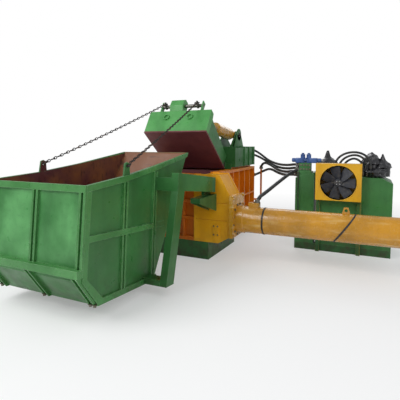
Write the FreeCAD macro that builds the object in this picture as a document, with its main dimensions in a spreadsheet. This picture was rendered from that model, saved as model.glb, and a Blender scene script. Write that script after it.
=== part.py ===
import FreeCAD, Part
import math
import os
import re

import Sketcher

# Scrap baler with a lidded charging chamber, a tipping hopper, one long main cylinder and a power unit.
# Millimetres. x runs along the main cylinder, -y faces the hopper, z is up.
# The origin is on the floor under the middle of the press base.

DRIVING = {
    # press base
    "base_half_width": 760, "base_front": 600, "base_rear": 595, "base_height": 280, "deck_thickness": 20,
    "runner_width": 200, "cross_beam": 160,
    "sleeper_front": 1450, "sleeper_half_width": 650,
    # charging chamber
    "chamber_half": 605, "chamber_front": 540, "chamber_rear": 560, "floor_thickness": 50,
    "wall_plate": 60, "rim_height": 1350, "press_rear": 1850, "wall_rib_depth": 95, "rib_thickness": 24,
    "rail_height": 50, "wall_step": 35, "box_front": 680, "ram_gap": 5, "platen_thickness": 40,
    "wall_rib_pitch": 330, "wall_belt_height": 800,
    # front wall and its bay
    "front_skin": 20, "bay_frame": 40, "panel_proud": 5, "panel_left": 509, "front_left": 895,
    "stile_width": 30, "bay_pitch": 205, "upper_rib_height": 907, "lower_rib_height": 640, "bay_rib": 40,
    "front_rail": 60, "bay_shelf_depth": 50, "panel_groove": 10, "groove_width": 16,
    # ram channel and its flange
    "channel_end": 1115, "channel_back": 165, "channel_plate": 40, "channel_top": 1343,
    "channel_cut_from": 938, "channel_cut_height": 1030, "channel_lip": 16, "channel_toe": 925,
    "channel_toe_rise": 110, "flange_thickness": 60, "flange_overhang": 45, "flange_bolt": 18,
    "flange_bolt_head": 16,
    "cover_centre": 891, "cover_low": 394, "cover_high": 568, "cover_width": 100, "cover_thickness": 18,
    # main cylinder
    "tube_radius": 200, "tube_wall": 28, "tube_axis_back": 382.5, "tube_axis_height": 650, "tube_end": 3475,
    "head_collar": 10, "head_collar_length": 120, "cap_thickness": 60, "cap_radius": 225,
    "strap_thickness": 8, "strap_width": 50, "strap_near": 1602, "strap_top": 2865, "strap_bottom": 2579,
    "lug_place": 2738, "lug_height": 90, "lug_length": 110, "lug_plate": 25, "lug_hole": 22,
    "port_place": 1430, "port_length": 160, "port_height": 70, "port_width": 110, "port_bore": 30,
    # upper box behind the chamber
    "box_half": 740, "box_height": 360, "box_collar": 20, "box_collar_width": 40, "box_collar_pitch": 300,
    "end_plate": 30, "box_shell_gap": 40,
    # lid hinge
    "hinge_y": 560, "hinge_z": 1450, "hinge_pin": 45, "hinge_ear": 75, "knuckle": 80,
    "hinge_running_gap": 0.1, "hinge_ear_width": 60, "hinge_side_gap": 6, "hinge_outer": 560,
    "hinge_inner": 210, "hinge_beam_rise": 100, "hinge_swing_gap": 6,
    # lid, measured closed: along it from the hinge and up from the hinge axis
    "lid_opening": 38, "lid_half": 595, "lid_drop": 111, "lid_length": 1054, "lid_plate_thickness": 30,
    "lid_root": 70, "lid_root_height": 130, "lid_nose": 1100, "lid_nose_back": 990, "lid_nose_height": 330,
    "lid_foot": 960, "lid_foot_height": 225, "lid_nose_inset": 35, "pocket_back": 690, "pocket_front": 900,
    "pocket_floor": 140, "pocket_half": 80,
    "boss_place": 225, "boss_height": 195, "boss_radius": 54, "boss_ring": 14, "boss_depth": 26,
    # chain shaft on the lid's nose
    "shaft_along": 1060, "shaft_height": 470, "shaft_radius": 30, "shaft_left": 395, "shaft_right": 375,
    "ear_plate": 20, "ear_foot_half": 75, "ear_top": 540, "head_left": 214, "head_right": 39,
    "head_half": 85, "head_top": 585, "head_lift": 45, "head_clear": 10,
    "anchor_along": 1125, "anchor_height": 480, "anchor_near": 290, "anchor_far": 333, "anchor_eye": 34,
    # lid cylinders
    "cylinder_half_gap": 445, "stand_pivot_back": 635, "stand_pivot_rise": 550, "lug_along": 805,
    "lug_rise": 240, "barrel_radius": 110, "barrel_wall": 18, "barrel_length": 800, "gland_length": 50,
    "rod_radius": 50, "rod_neck": 34, "rod_shoulder": 12, "rod_length": 782, "gland_clearance": 1, "piston_length": 50, "piston_clearance": 1,
    "eye_radius": 55, "eye_half": 38, "lid_pin": 28, "eye_side_gap": 6, "lug_plate_width": 24,
    "rear_eye_radius": 70, "rear_eye_half": 112, "stand_ear_radius": 72, "stand_ear_width": 28, "stand_front": 330,
    "stand_back": 390, "stand_foot": 24, "stand_neck": 70, "barrel_root": 60,
    # hopper, measured level
    "tilt": 4.5, "pivot_y": 745, "pivot_z": 1200, "pivot_pin": 45, "pivot_gap": 0.1,
    "hopper_near": 560, "hopper_skin": 20, "far_rear_x": 844, "far_front_x": 555,
    "rear_top_y": 3097, "rear_top_z": 1225, "rear_low_y": 3125, "rear_low_z": 290,
    "keel_rear_y": 2881, "keel_front_y": 1805, "tip_y": 981, "tip_z": 1670,
    "kink_one_y": 2496, "kink_one_z": 1318, "kink_two_y": 1863, "kink_two_z": 1452,
    "rail_depth": 65, "rail_stand": 24, "band_low": 665, "post_one": 2515, "post_two": 1900,
    "post_bar": 26, "post_gap": 30, "rear_post_middle": 125, "rear_post_far": 790, "rear_post_near": 505,
    "rear_rail_height": 70, "rear_rail_stand": 26, "ledge_low": 343, "ledge_height": 75, "ledge_reach": 80,
    "gusset_thickness": 14, "foot_radius": 16, "foot_height": 30,
    # side C-frames of the hopper
    "frame_outer": 895, "frame_width": 95, "column_foot_y": 2057, "column_foot_z": 13,
    "column_head_y": 1845, "column_head_z": 1141, "column_depth": 180, "arm_root_z": 1370,
    "arm_end_y": 650, "arm_end_low": 1092, "arm_end_high": 1312, "foot_beam_height": 70, "arm_cap": 14,
    "bracket_reach": 1205, "bracket_low": 978, "bracket_high": 1048, "bracket_ear": 45, "bracket_gap": 10,
    "bracket_web": 24, "bracket_drop": 190,
    # chains
    "chain_lug_y": 2440, "chain_lug_z": 1430, "chain_lug_half": 55, "chain_lug_hole": 20,
    "chain_bar": 16, "chain_pitch": 84, "chain_link_width": 56, "shackle_plate": 14, "shackle_gap": 2.5, "half_offset": 31, "shackle_side_gap": 13,
    "shackle_length": 70, "joint_gap": 6,
    # power unit
    "unit_front": 675, "unit_rear": 1475, "unit_left": 1845, "unit_right": 3350, "unit_rail": 120,
    "left_tank_right": 2160, "left_tank_height": 1235, "shoulder_start": 1950, "neck_height": 1330,
    "left_tank_step": 40, "right_tank_left": 2240, "right_tank_height": 1270, "right_tank_shoulder": 80,
    "tank_cap_radius": 90, "tank_cap_height": 40,
    "cooler_left": 2205, "cooler_right": 2902, "cooler_front": 475, "cooler_depth": 200, "cooler_low": 900,
    "cooler_high": 1500, "cooler_frame": 30, "fan_ring": 285, "fan_x": 2555, "fan_z": 1192,
    "fan_tip": 265, "fan_hub": 55, "fan_hub_depth": 50, "blade_thickness": 8, "blade_pitch": 32,
    "blade_width": 105, "fan_axle": 18, "cooler_leg": 60, "cooler_stay": 24,
    "manifold_left": 1880, "manifold_right": 2110, "manifold_low": 1350, "manifold_high": 1490,
    "manifold_depth": 180, "plate_rise": 20, "valve_radius": 38, "valve_length": 150, "valve_pitch": 100,
    "knob_radius": 22, "motor_radius": 85, "motor_height": 250, "motor_x": 2330, "pump_radius": 60,
    "wrapped_radius": 72, "wrapped_height": 330, "wrapped_first": 3030, "wrapped_pitch": 170,
    "pipe_radius": 19,
}

# Places worked out from the driving sizes.
PLACES = {
    "chamber_floor_top": "base_height + floor_thickness",
    "wall_outer": "chamber_half + wall_plate",
    "wall_rib_outer": "wall_outer + wall_rib_depth",
    "box_floor": "rim_height + wall_step",
    "box_top": "box_floor + box_height",
    "front_outer": "chamber_front + bay_frame + front_skin",
    "panel_outer": "front_outer + panel_proud",
    "flange_outer": "channel_end + flange_thickness",
    "tube_start": "flange_outer",
    "lid_plate_top": "hinge_z - lid_drop + lid_plate_thickness",
    "stand_angle": "atan2(stand_pivot_rise; stand_pivot_back)",
    "lug_angle": "atan2(lug_rise; lug_along)",
    "opening_angle": "lid_opening * 1 deg",
    "stand_half_width": "rear_eye_half + eye_side_gap + stand_ear_width + stand_foot",
    "cylinder_tip": "(stand_angle - lug_angle - opening_angle) / 2",
    "stand_y": "hinge_y + stand_pivot_back",
    "stand_z": "hinge_z + stand_pivot_rise",
    "frame_inner": "frame_outer - frame_width",
    "hopper_inner": "hopper_near - hopper_skin",
}

BROKEN_STATES = ("Invalid", "Error")
FULL_WIDTH = "2000"

doc = FreeCAD.newDocument("ScrapBaler")
sizes = doc.addObject("Spreadsheet::Sheet", "Sizes")
for row, (alias, value) in enumerate(DRIVING.items(), start=1):
    sizes.set(f"A{row}", alias.replace("_", " "))
    sizes.set(f"B{row}", str(value))
    sizes.setAlias(f"B{row}", alias)
doc.recompute()

nodes = {}


def bound(text):
    """Spell a formula for the sheet: an alias gets the sheet's name, a place its own formula."""
    def spell(match):
        word = match.group(0)
        if word in PLACES:
            return f"({bound(PLACES[word])})"
        return f"Sizes.{word}" if word in DRIVING else word
    return re.sub(r"[a-z][a-z_]+[0-9]?", spell, str(text))


def size(alias):
    """The sheet's value of one driving size."""
    return float(getattr(sizes, alias))


def bind(piece, **formulas):
    """Bind properties, such as Length or Placement__Base__y, to formulas."""
    for name, text in formulas.items():
        piece.setExpression(name.replace("__", "."), bound(text))
    return piece


def block(x, y, z, name="Block"):
    """A plain block between two places on each axis."""
    piece = doc.addObject("Part::Box", name)
    bind(piece, Placement__Base__x=x[0], Placement__Base__y=y[0], Placement__Base__z=z[0])
    return bind(piece, Length=f"{x[1]} - ({x[0]})", Width=f"{y[1]} - ({y[0]})", Height=f"{z[1]} - ({z[0]})")


ALONG = {"x": FreeCAD.Rotation(FreeCAD.Vector(0, 1, 0), 90),
         "y": FreeCAD.Rotation(FreeCAD.Vector(1, 0, 0), -90),
         "z": FreeCAD.Rotation()}


def bar(axis, start, length, radius, name="Bar"):
    """A round bar from a start point along one axis."""
    piece = doc.addObject("Part::Cylinder", name)
    piece.Placement = FreeCAD.Placement(FreeCAD.Vector(), ALONG[axis])
    bind(piece, Placement__Base__x=start[0], Placement__Base__y=start[1], Placement__Base__z=start[2])
    return bind(piece, Radius=radius, Height=length)


def outline_sketch(body, role, outline, circles, start):
    """A closed outline with every corner bound to its place, and round holes."""
    sketch = body.newObject("Sketcher::SketchObject", "Outline")
    plane = [entry for entry in body.Origin.OriginFeatures if entry.Role == role][0]
    sketch.AttachmentSupport = [(plane, "")]
    sketch.MapMode = "FlatFace"
    bind(sketch, AttachmentOffset__Base__z=start)
    count = len(outline)
    ring = [FreeCAD.Vector(math.cos(2 * math.pi * turn / count), math.sin(2 * math.pi * turn / count), 0) * 1000
            for turn in range(count)]
    sketch.addGeometry([Part.LineSegment(ring[turn], ring[(turn + 1) % count]) for turn in range(count)], False)
    sketch.addConstraint([Sketcher.Constraint("Coincident", turn, 2, (turn + 1) % count, 1)
                          for turn in range(count)])
    for turn, (across, up) in enumerate(outline):
        for kind, start_value, text in (("DistanceX", ring[turn].x, across), ("DistanceY", ring[turn].y, up)):
            index = sketch.addConstraint(Sketcher.Constraint(kind, -1, 1, turn, 1, start_value))
            sketch.setExpression(f"Constraints[{index}]", bound(text))
    for across, up, radius in circles:
        hole = sketch.addGeometry(Part.Circle(FreeCAD.Vector(), FreeCAD.Vector(0, 0, 1), 10), False)
        for kind, text in (("DistanceX", across), ("DistanceY", up)):
            index = sketch.addConstraint(Sketcher.Constraint(kind, -1, 1, hole, 3, 1))
            sketch.setExpression(f"Constraints[{index}]", bound(text))
        index = sketch.addConstraint(Sketcher.Constraint("Radius", hole, 10))
        sketch.setExpression(f"Constraints[{index}]", bound(radius))
    return sketch


def side_plate(outline, start, thickness, circles=(), name="Plate"):
    """A plate with a (y, z) outline, from x = start to x = start + thickness."""
    body = doc.addObject("PartDesign::Body", name)
    sketch = outline_sketch(body, "YZ_Plane", outline, circles, start)
    pad = body.newObject("PartDesign::Pad", "Pad")
    pad.Profile = sketch
    bind(pad, Length=thickness)
    return body


def front_plate(outline, front, thickness, circles=(), name="Plate"):
    """A plate with an (x, z) outline, from y = front towards +y."""
    body = doc.addObject("PartDesign::Body", name)
    sketch = outline_sketch(body, "XZ_Plane", outline, circles, f"-({front}) - ({thickness})")
    pad = body.newObject("PartDesign::Pad", "Pad")
    pad.Profile = sketch
    bind(pad, Length=thickness)
    return body


def floor_plate(outline, low, thickness, circles=(), name="Plate"):
    """A plate with an (x, y) outline, from z = low upwards."""
    body = doc.addObject("PartDesign::Body", name)
    sketch = outline_sketch(body, "XY_Plane", outline, circles, low)
    pad = body.newObject("PartDesign::Pad", "Pad")
    pad.Profile = sketch
    bind(pad, Length=thickness)
    return body


def turned(outline, name="Turned"):
    """A turned piece: an (along, radius) outline spun about its own x axis."""
    body = doc.addObject("PartDesign::Body", name)
    sketch = outline_sketch(body, "XY_Plane", outline, (), "0")
    spin = body.newObject("PartDesign::Revolution", "Spin")
    spin.Profile = sketch
    spin.ReferenceAxis = (sketch, ["H_Axis"])
    spin.Angle = 360
    return body


def fused(pieces, name="Fused"):
    """Several pieces welded into one, or kept side by side under one name."""
    joined = doc.addObject("Part::MultiFuse", name)
    joined.Shapes = list(pieces)
    joined.Refine = True
    return joined


def cut(base, tools, name="Cut"):
    """A piece with other shapes taken out of it."""
    opened = doc.addObject("Part::Cut", name)
    opened.Base = base
    opened.Tool = fused(tools) if len(tools) > 1 else tools[0]
    opened.Refine = True
    return opened


def shared(first, second, name="Shared"):
    """What two shapes have in common."""
    common = doc.addObject("Part::Common", name)
    common.Base = first
    common.Tool = second
    return common


def node(label, piece, frame=None):
    """Name a finished piece, in the press frame or turned with the hopper or the lid."""
    if frame is not None:
        frame(piece)
    piece.Label = label
    nodes[label] = piece
    return piece


def with_hopper(piece):
    """Turn a level piece about the hopper pivot to where the hopper hangs."""
    piece.Placement = FreeCAD.Placement(FreeCAD.Vector(), FreeCAD.Rotation(FreeCAD.Vector(1, 0, 0), -size("tilt")))
    bind(piece, Placement__Rotation__Angle="-tilt")
    bind(piece, Placement__Base__y="-pivot_y + pivot_y * cos(tilt) - pivot_z * sin(tilt)",
         Placement__Base__z="pivot_z - pivot_y * sin(tilt) - pivot_z * cos(tilt)")


def with_lid(piece):
    """Turn a closed-lid piece about the lid hinge to where the lid stands."""
    opening = size("lid_opening")
    piece.Placement = FreeCAD.Placement(FreeCAD.Vector(), FreeCAD.Rotation(FreeCAD.Vector(1, 0, 0), -opening))
    bind(piece, Placement__Rotation__Angle="-lid_opening")
    bind(piece, Placement__Base__y="hinge_y - hinge_y * cos(lid_opening) - hinge_z * sin(lid_opening)",
         Placement__Base__z="hinge_z + hinge_y * sin(lid_opening) - hinge_z * cos(lid_opening)")


def build_base():
    """The skid under the press: runners, cross beams and a deck, and a sleeper under the rear."""
    top = ("base_height - deck_thickness", "base_height")
    below = ("0", "base_height - deck_thickness")
    span = ("-base_front", "base_rear")
    pieces = [block(("-base_half_width", "base_half_width"), span, top)]
    for left, right in (("-base_half_width", "-base_half_width + runner_width"),
                        ("-runner_width / 2", "runner_width / 2"),
                        ("base_half_width - runner_width", "base_half_width")):
        pieces.append(block((left, right), span, below))
    for front, rear in (("-base_front", "-base_front + cross_beam"), ("base_rear - cross_beam", "base_rear")):
        pieces.append(block(("-base_half_width", "base_half_width"), (front, rear), below))
    node("base_skid", fused(pieces))
    node("rear_sleeper", block(("-sleeper_half_width", "sleeper_half_width"), ("sleeper_front", "press_rear"),
                               ("0", "base_height")))


def side_wall(side, front):
    """One long wall: its plate, upright ribs, a belt and the rails at its foot and rim."""
    def across(low, high):
        return (low, high) if side > 0 else (f"-({high})", f"-({low})")
    plate_x = across("chamber_half", "wall_outer")
    rib_x = across("wall_outer", "wall_rib_outer")
    pieces = [block(plate_x, (front, "press_rear"), ("base_height", "rim_height")),
              block(plate_x, ("box_front", "press_rear"), ("rim_height", "box_floor"))]
    for low, high in (("base_height", "base_height + rail_height"), ("rim_height - rail_height", "rim_height"),
                      ("wall_belt_height", "wall_belt_height + rib_thickness")):
        pieces.append(block(rib_x, (front, "press_rear"), (low, high)))
    for rib in range(6):
        foot = f"press_rear - rib_thickness - {rib} * wall_rib_pitch"
        pieces.append(block(rib_x, (foot, f"{foot} + rib_thickness"), ("base_height", "rim_height")))
    return fused(pieces)


def build_chamber():
    """The walls, floor and pressing faces of the charging chamber."""
    node("right_wall", side_wall(1, "-channel_back"))
    node("left_wall", side_wall(-1, "-chamber_front"))
    inside = ("-chamber_half", "chamber_half")
    node("chamber_floor", block(inside, ("-chamber_front", "press_rear"), ("base_height", "chamber_floor_top")))
    height = ("chamber_floor_top", "hinge_z - lid_drop - 2 * ram_gap")
    rear = block(("-chamber_half + ram_gap", "chamber_half - ram_gap"),
                 ("chamber_rear", "chamber_rear + platen_thickness"), height)
    main = block(("chamber_half - ram_gap - platen_thickness", "chamber_half - ram_gap"),
                 ("-chamber_front + ram_gap", "-channel_back - ram_gap"), height)
    node("ram_faces", fused([rear, main]))
    rear = [block(inside, ("press_rear - wall_plate", "press_rear"), ("chamber_floor_top", "box_floor"))]
    node("rear_wall", fused(rear + [block((f"{place} * chamber_half - rib_thickness / 2",
                                           f"{place} * chamber_half + rib_thickness / 2"),
                                          ("press_rear", "press_rear + bay_frame"),
                                          ("chamber_floor_top", "box_floor"))
                                    for place in (-0.6, -0.2, 0.2, 0.6)]))


def build_front_wall():
    """The front wall: a skin behind a frame of rails and stiles that leaves sunken bays."""
    face = ("-front_outer", "-chamber_front - front_skin")
    wide = ("-front_left", "panel_left")
    pieces = [block(wide, ("-chamber_front - front_skin", "-chamber_front"), ("base_height", "rim_height")),
              block(("panel_left", "chamber_half"), ("-chamber_front - front_skin", "-chamber_front"),
                    ("base_height", "rim_height"))]
    for low, high in (("base_height", "base_height + front_rail"), ("rim_height - front_rail", "rim_height"),
                      ("upper_rib_height - bay_rib / 2", "upper_rib_height + bay_rib / 2"),
                      ("lower_rib_height - bay_rib / 2", "lower_rib_height + bay_rib / 2")):
        pieces.append(block(wide, face, (low, high)))
    for bay in range(1, 7):
        stile = f"panel_left - {bay} * bay_pitch"
        pieces.append(block((stile, f"{stile} + stile_width"), face, ("base_height", "rim_height")))
    pieces.append(block(("-front_left", "-front_left + stile_width"), face, ("base_height", "rim_height")))
    node("front_wall", fused(pieces))


def channel_profile(left, lip):
    """The ram channel seen from the front: a cut-off shoulder above and a chamfered toe below."""
    return [(left, f"base_height + {lip}"), ("channel_toe", f"base_height + {lip}"),
            ("channel_end", f"base_height + channel_toe_rise + {lip}"),
            ("channel_end", f"channel_cut_height - {lip}"),
            ("channel_cut_from", f"channel_top - {lip}"), (left, f"channel_top - {lip}")]


def build_channel():
    """The main ram's channel: two profiled plates standing proud of the housing between them."""
    depth = "panel_outer - chamber_front - front_skin"
    panel = front_plate(channel_profile("panel_left", "0"), "-panel_outer", depth)
    grooves = [block(("panel_left + bay_frame", "channel_end - bay_frame"),
                     ("-panel_outer", "-panel_outer + panel_groove"),
                     (f"{height} - groove_width / 2", f"{height} + groove_width / 2"))
               for height in ("upper_rib_height", "lower_rib_height")]
    rear = front_plate(channel_profile("wall_outer", "0"), "-channel_back - channel_plate", "channel_plate")
    node("channel_plates", fused([cut(panel, grooves), rear]))
    shell_depth = "chamber_front + front_skin - channel_back - channel_plate"
    node("channel_housing", front_plate(channel_profile("chamber_half", "channel_lip"),
                                        "-chamber_front - front_skin", shell_depth))
    front, back = "-panel_outer - flange_overhang", "-channel_back + flange_overhang"
    low, high = "base_height + channel_toe_rise", "channel_cut_height"
    plate = block(("channel_end", "flange_outer"), (front, back), (low, high))
    bolts = []
    for row in range(5):
        height = f"{low} + flange_bolt * 2 + {row} * ({high} - ({low}) - flange_bolt * 4) / 4"
        for place in (f"{front} + flange_bolt * 1.6", f"{back} - flange_bolt * 1.6"):
            bolts.append(bar("x", ("flange_outer", place, height), "flange_bolt_head", "flange_bolt"))
    node("channel_flange", fused([plate] + bolts))
    build_inspection_cover()


def build_inspection_cover():
    """The oval cover on the channel panel, held by two studs."""
    middle = ("cover_low + cover_width / 2", "cover_high - cover_width / 2")
    front = "-panel_outer - cover_thickness"
    pieces = [block(("cover_centre - cover_width / 2", "cover_centre + cover_width / 2"),
                    (front, "-panel_outer"), middle)]
    for height in middle:
        pieces.append(bar("y", ("cover_centre", front, height), "cover_thickness", "cover_width / 2"))
        pieces.append(bar("y", ("cover_centre", f"{front} - flange_bolt_head / 2", height),
                          "flange_bolt_head / 2", "flange_bolt"))
    node("inspection_cover", fused(pieces))


def on_tube_axis(piece):
    """Put a turned piece on the main cylinder's axis."""
    return bind(piece, Placement__Base__y="-tube_axis_back", Placement__Base__z="tube_axis_height")


def build_main_cylinder():
    """The long cylinder with its head collar, end cap, straps, lifting lug and port block."""
    outer, bore = "tube_radius", "tube_radius - tube_wall"
    barrel = turned([("tube_start", "0"), ("tube_start", f"{outer} + head_collar"),
                     ("tube_start + head_collar_length", f"{outer} + head_collar"),
                     ("tube_start + head_collar_length + head_collar", outer), ("tube_end", outer),
                     ("tube_end", bore), ("tube_start + head_collar_length", bore),
                     ("tube_start + head_collar_length", "0")])
    node("main_cylinder", on_tube_axis(barrel))
    cap = turned([("tube_end", "0"), ("tube_end", "cap_radius"), ("tube_end + cap_thickness * 0.7", "cap_radius"),
                  ("tube_end + cap_thickness", "cap_radius * 0.7"), ("tube_end + cap_thickness", "0")])
    node("cylinder_end_cap", on_tube_axis(cap))
    ring = on_tube_axis(turned([("strap_near - strap_width / 2", outer),
                                ("strap_near - strap_width / 2", f"{outer} + strap_thickness"),
                                ("strap_near + strap_width / 2", f"{outer} + strap_thickness"),
                                ("strap_near + strap_width / 2", outer)]))
    sleeve = on_tube_axis(turned([("strap_bottom - strap_width", outer),
                                  ("strap_bottom - strap_width", f"{outer} + strap_thickness"),
                                  ("strap_top + strap_width", f"{outer} + strap_thickness"),
                                  ("strap_top + strap_width", outer)]))
    top, bottom = "tube_axis_height + tube_radius", "tube_axis_height - tube_radius"
    slant = front_plate([("strap_bottom - strap_width / 2", f"{bottom} - strap_thickness"),
                         ("strap_bottom + strap_width / 2", f"{bottom} - strap_thickness"),
                         ("strap_top + strap_width / 2", f"{top} + strap_thickness"),
                         ("strap_top - strap_width / 2", f"{top} + strap_thickness")],
                        "-tube_axis_back - tube_radius * 2", "tube_radius * 4")
    node("cylinder_straps", fused([ring, shared(sleeve, slant)]))
    build_cylinder_fittings()


def build_cylinder_fittings():
    """The lifting lug on the barrel and the port block near its head, each with a curved seat."""
    top = "tube_axis_height + tube_radius"
    seat = "tube_axis_height + tube_radius * 0.8"
    lug = front_plate([("lug_place - lug_length / 2", seat), ("lug_place + lug_length / 2", seat),
                       ("lug_place + lug_length / 2", top),
                       ("lug_place + lug_length / 4", f"{top} + lug_height"),
                       ("lug_place - lug_length / 4", f"{top} + lug_height"),
                       ("lug_place - lug_length / 2", top)],
                      "-tube_axis_back - lug_plate / 2", "lug_plate",
                      [("lug_place", f"{top} + lug_height / 2", "lug_hole")])
    port = block(("port_place - port_length / 2", "port_place + port_length / 2"),
                 ("-tube_axis_back - port_width / 2", "-tube_axis_back + port_width / 2"),
                 (seat, f"{top} + port_height"))
    mouth = bar("z", ("port_place", "-tube_axis_back", f"{top} + port_height / 2"), "port_height", "port_bore")
    seat_bar = bar("x", ("tube_start", "-tube_axis_back", "tube_axis_height"), "tube_end - tube_start",
                   "tube_radius")
    node("cylinder_fittings", cut(fused([lug, cut(port, [mouth])]), [seat_bar]))


def build_upper_box():
    """The closed box over the rear of the press, with collars round it and a dark end plate."""
    span = ("box_front", "press_rear - end_plate")
    core = block(("-box_half", "box_half"), span, ("box_floor", "box_top"))
    node("upper_box", core)
    collars = []
    for turn in range(3):
        rear = f"press_rear - end_plate - {turn} * box_collar_pitch"
        ring = block(("-box_half - box_collar", "box_half + box_collar"), (f"{rear} - box_collar_width", rear),
                     ("box_floor", "box_top + box_collar"))
        hole = block(("-box_half", "box_half"), (f"{rear} - box_collar_width * 2", f"{rear} + box_collar_width"),
                     ("box_floor - box_collar", "box_top"))
        collars.append(cut(ring, [hole]))
    feet = [block((f"{sign}cylinder_half_gap - stand_half_width", f"{sign}cylinder_half_gap + stand_half_width"),
                  ("box_front", "press_rear"), ("box_top", "box_top + 2 * box_collar")) for sign in ("", "-")]
    node("box_collars", cut(fused(collars), feet))
    node("box_end_plate", block(("-box_half - box_collar", "box_half + box_collar"),
                                ("press_rear - end_plate", "press_rear"), ("box_floor", "box_top + box_collar")))


HINGE_STATIONS = ("-hinge_outer", "-hinge_inner", "hinge_inner", "hinge_outer - hinge_ear_width")


def build_hinge():
    """The lid hinge: a beam across the press with four ears, and one long pin."""
    beam = block(("-wall_outer", "wall_outer"), ("hinge_y + knuckle + hinge_swing_gap", "box_front"),
                 ("rim_height", "rim_height + hinge_beam_rise"))
    ears = []
    for station in HINGE_STATIONS:
        ears.append(bar("x", (station, "hinge_y", "hinge_z"), "hinge_ear_width", "hinge_ear"))
        ears.append(side_plate([("hinge_y", "hinge_z - hinge_ear"), ("box_front", "rim_height"),
                                ("box_front", "rim_height + hinge_beam_rise"), ("hinge_y", "hinge_z + hinge_ear")],
                               station, "hinge_ear_width"))
    bore = bar("x", ("-wall_outer", "hinge_y", "hinge_z"), "2 * wall_outer", "hinge_pin")
    node("hinge_bracket", cut(fused([beam] + ears), [bore]))
    node("hinge_pin", bar("x", ("-hinge_outer - hinge_side_gap", "hinge_y", "hinge_z"),
                          "2 * hinge_outer + 2 * hinge_side_gap", "hinge_pin"))


def build_stands():
    """Two stands on the upper box, each a gusseted pair of ears with the lid cylinder's rear pin."""
    ear_gap = "(rear_eye_half + eye_side_gap)"
    pieces = []
    for sign in ("", "-"):
        middle = f"({sign}cylinder_half_gap)"
        pieces.append(block((f"{middle} - {ear_gap} - stand_ear_width - stand_foot",
                         f"{middle} + {ear_gap} + stand_ear_width + stand_foot"),
                        ("stand_y - stand_front", "stand_y + stand_back"), ("box_top", "box_top + stand_foot")))
        outline = [("stand_y - stand_front", "box_top + stand_foot"),
                   ("stand_y + stand_back", "box_top + stand_foot"),
                   ("stand_y + stand_neck", "stand_z"), ("stand_y - stand_neck", "stand_z")]
        for start in (f"{middle} - {ear_gap} - stand_ear_width", f"{middle} + {ear_gap}"):
            pieces.append(side_plate(outline, start, "stand_ear_width"))
            pieces.append(bar("x", (start, "stand_y", "stand_z"), "stand_ear_width", "stand_ear_radius"))
        pieces.append(bar("x", (f"{middle} - {ear_gap}", "stand_y", "stand_z"), f"2 * {ear_gap}", "lid_pin"))
    node("cylinder_stands", fused(pieces))


def build_pivot_brackets():
    """A console on each side of the front wall, with the ear and stub pin that carry the hopper."""
    pieces = []
    for sign, root in ((1, "-panel_outer"), (-1, "-front_outer")):
        def across(low, high):
            return (low, high) if sign > 0 else (f"-({high})", f"-({low})")
        ear_x = across("frame_inner - bracket_gap - bracket_ear", "frame_inner - bracket_gap")
        pieces.append(block(across("frame_inner - bracket_gap - bracket_ear", "frame_outer"),
                        ("-bracket_reach", root), ("bracket_low", "bracket_high")))
        pieces.append(side_plate([("-pivot_y - pivot_pin * 2", "bracket_high"), (root, "bracket_high"),
                                  (root, "pivot_z + pivot_pin * 2"), ("-pivot_y", "pivot_z + pivot_pin * 2"),
                                  ("-pivot_y - pivot_pin * 2", "pivot_z")], ear_x[0], "bracket_ear"))
        for start in (ear_x[0], across("frame_outer - bracket_web", "frame_outer")[0]):
            pieces.append(side_plate([("-bracket_reach", "bracket_low"), (root, "bracket_low - bracket_drop"),
                                      (root, "bracket_low")], start, "bracket_web"))
        pin_x = across("frame_inner - bracket_gap", "frame_outer - hopper_skin - ram_gap")
        pieces.append(bar("x", (pin_x[0], "-pivot_y", "pivot_z"), f"{pin_x[1]} - ({pin_x[0]})", "pivot_pin"))
    node("pivot_brackets", fused(pieces))


def build_lid():
    """The pressing lid: face plate with hinge knuckles, casing, nose beam and ring bosses."""
    reach = ("-lid_half", "lid_half")
    plate = block(reach, ("hinge_y - lid_length", "hinge_y"), ("hinge_z - lid_drop", "lid_plate_top"))
    knuckles = []
    for turn, (left, right) in enumerate((("-hinge_outer + hinge_ear_width", "-hinge_inner"),
                                          ("-hinge_inner + hinge_ear_width", "hinge_inner"),
                                          ("hinge_inner + hinge_ear_width", "hinge_outer - hinge_ear_width"))):
        left, width = f"{left} + hinge_side_gap", f"{right} - ({left}) - 2 * hinge_side_gap"
        knuckles.append(bar("x", (left, "hinge_y", "hinge_z"), width, "knuckle"))
        knuckles.append(block((left, f"{left} + {width}"), ("hinge_y - lid_root", "hinge_y"),
                              ("lid_plate_top", "hinge_z")))
    bore = bar("x", ("-lid_half - knuckle", "hinge_y", "hinge_z"), "2 * lid_half + 2 * knuckle",
               "hinge_pin + hinge_running_gap")
    node("lid_face", cut(fused([plate] + knuckles), [bore]), with_lid)

    def along(place):
        return f"hinge_y - {place}"

    casing = side_plate([(along("lid_root - lid_plate_thickness"), "lid_plate_top"),
                         (along("lid_foot"), "lid_plate_top"),
                         (along("lid_foot"), "hinge_z + lid_foot_height"),
                         (along("lid_root"), "hinge_z + lid_root_height")], "-lid_half", "2 * lid_half")
    relief = bar("x", ("-lid_half - knuckle", "hinge_y", "hinge_z"), "2 * lid_half + 2 * knuckle",
                 "knuckle + ram_gap + 1")
    pockets = [block((f"{side}cylinder_half_gap - pocket_half", f"{side}cylinder_half_gap + pocket_half"),
                     (along("pocket_front"), along("pocket_back")),
                     ("hinge_z + pocket_floor", "hinge_z + lid_nose_height")) for side in ("", "-")]
    node("lid_casing", cut(casing, [relief] + pockets), with_lid)
    nose = side_plate([(along("lid_foot"), "lid_plate_top"), (along("lid_length"), "lid_plate_top"),
                       (along("lid_nose"), "hinge_z + lid_nose_height"),
                       (along("lid_nose_back"), "hinge_z + lid_nose_height"),
                       (along("lid_foot"), "hinge_z + lid_foot_height")], "-lid_half", "2 * lid_half")
    node("lid_nose", fused([nose] + ring_bosses()), with_lid)
    build_lid_lugs()


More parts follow.
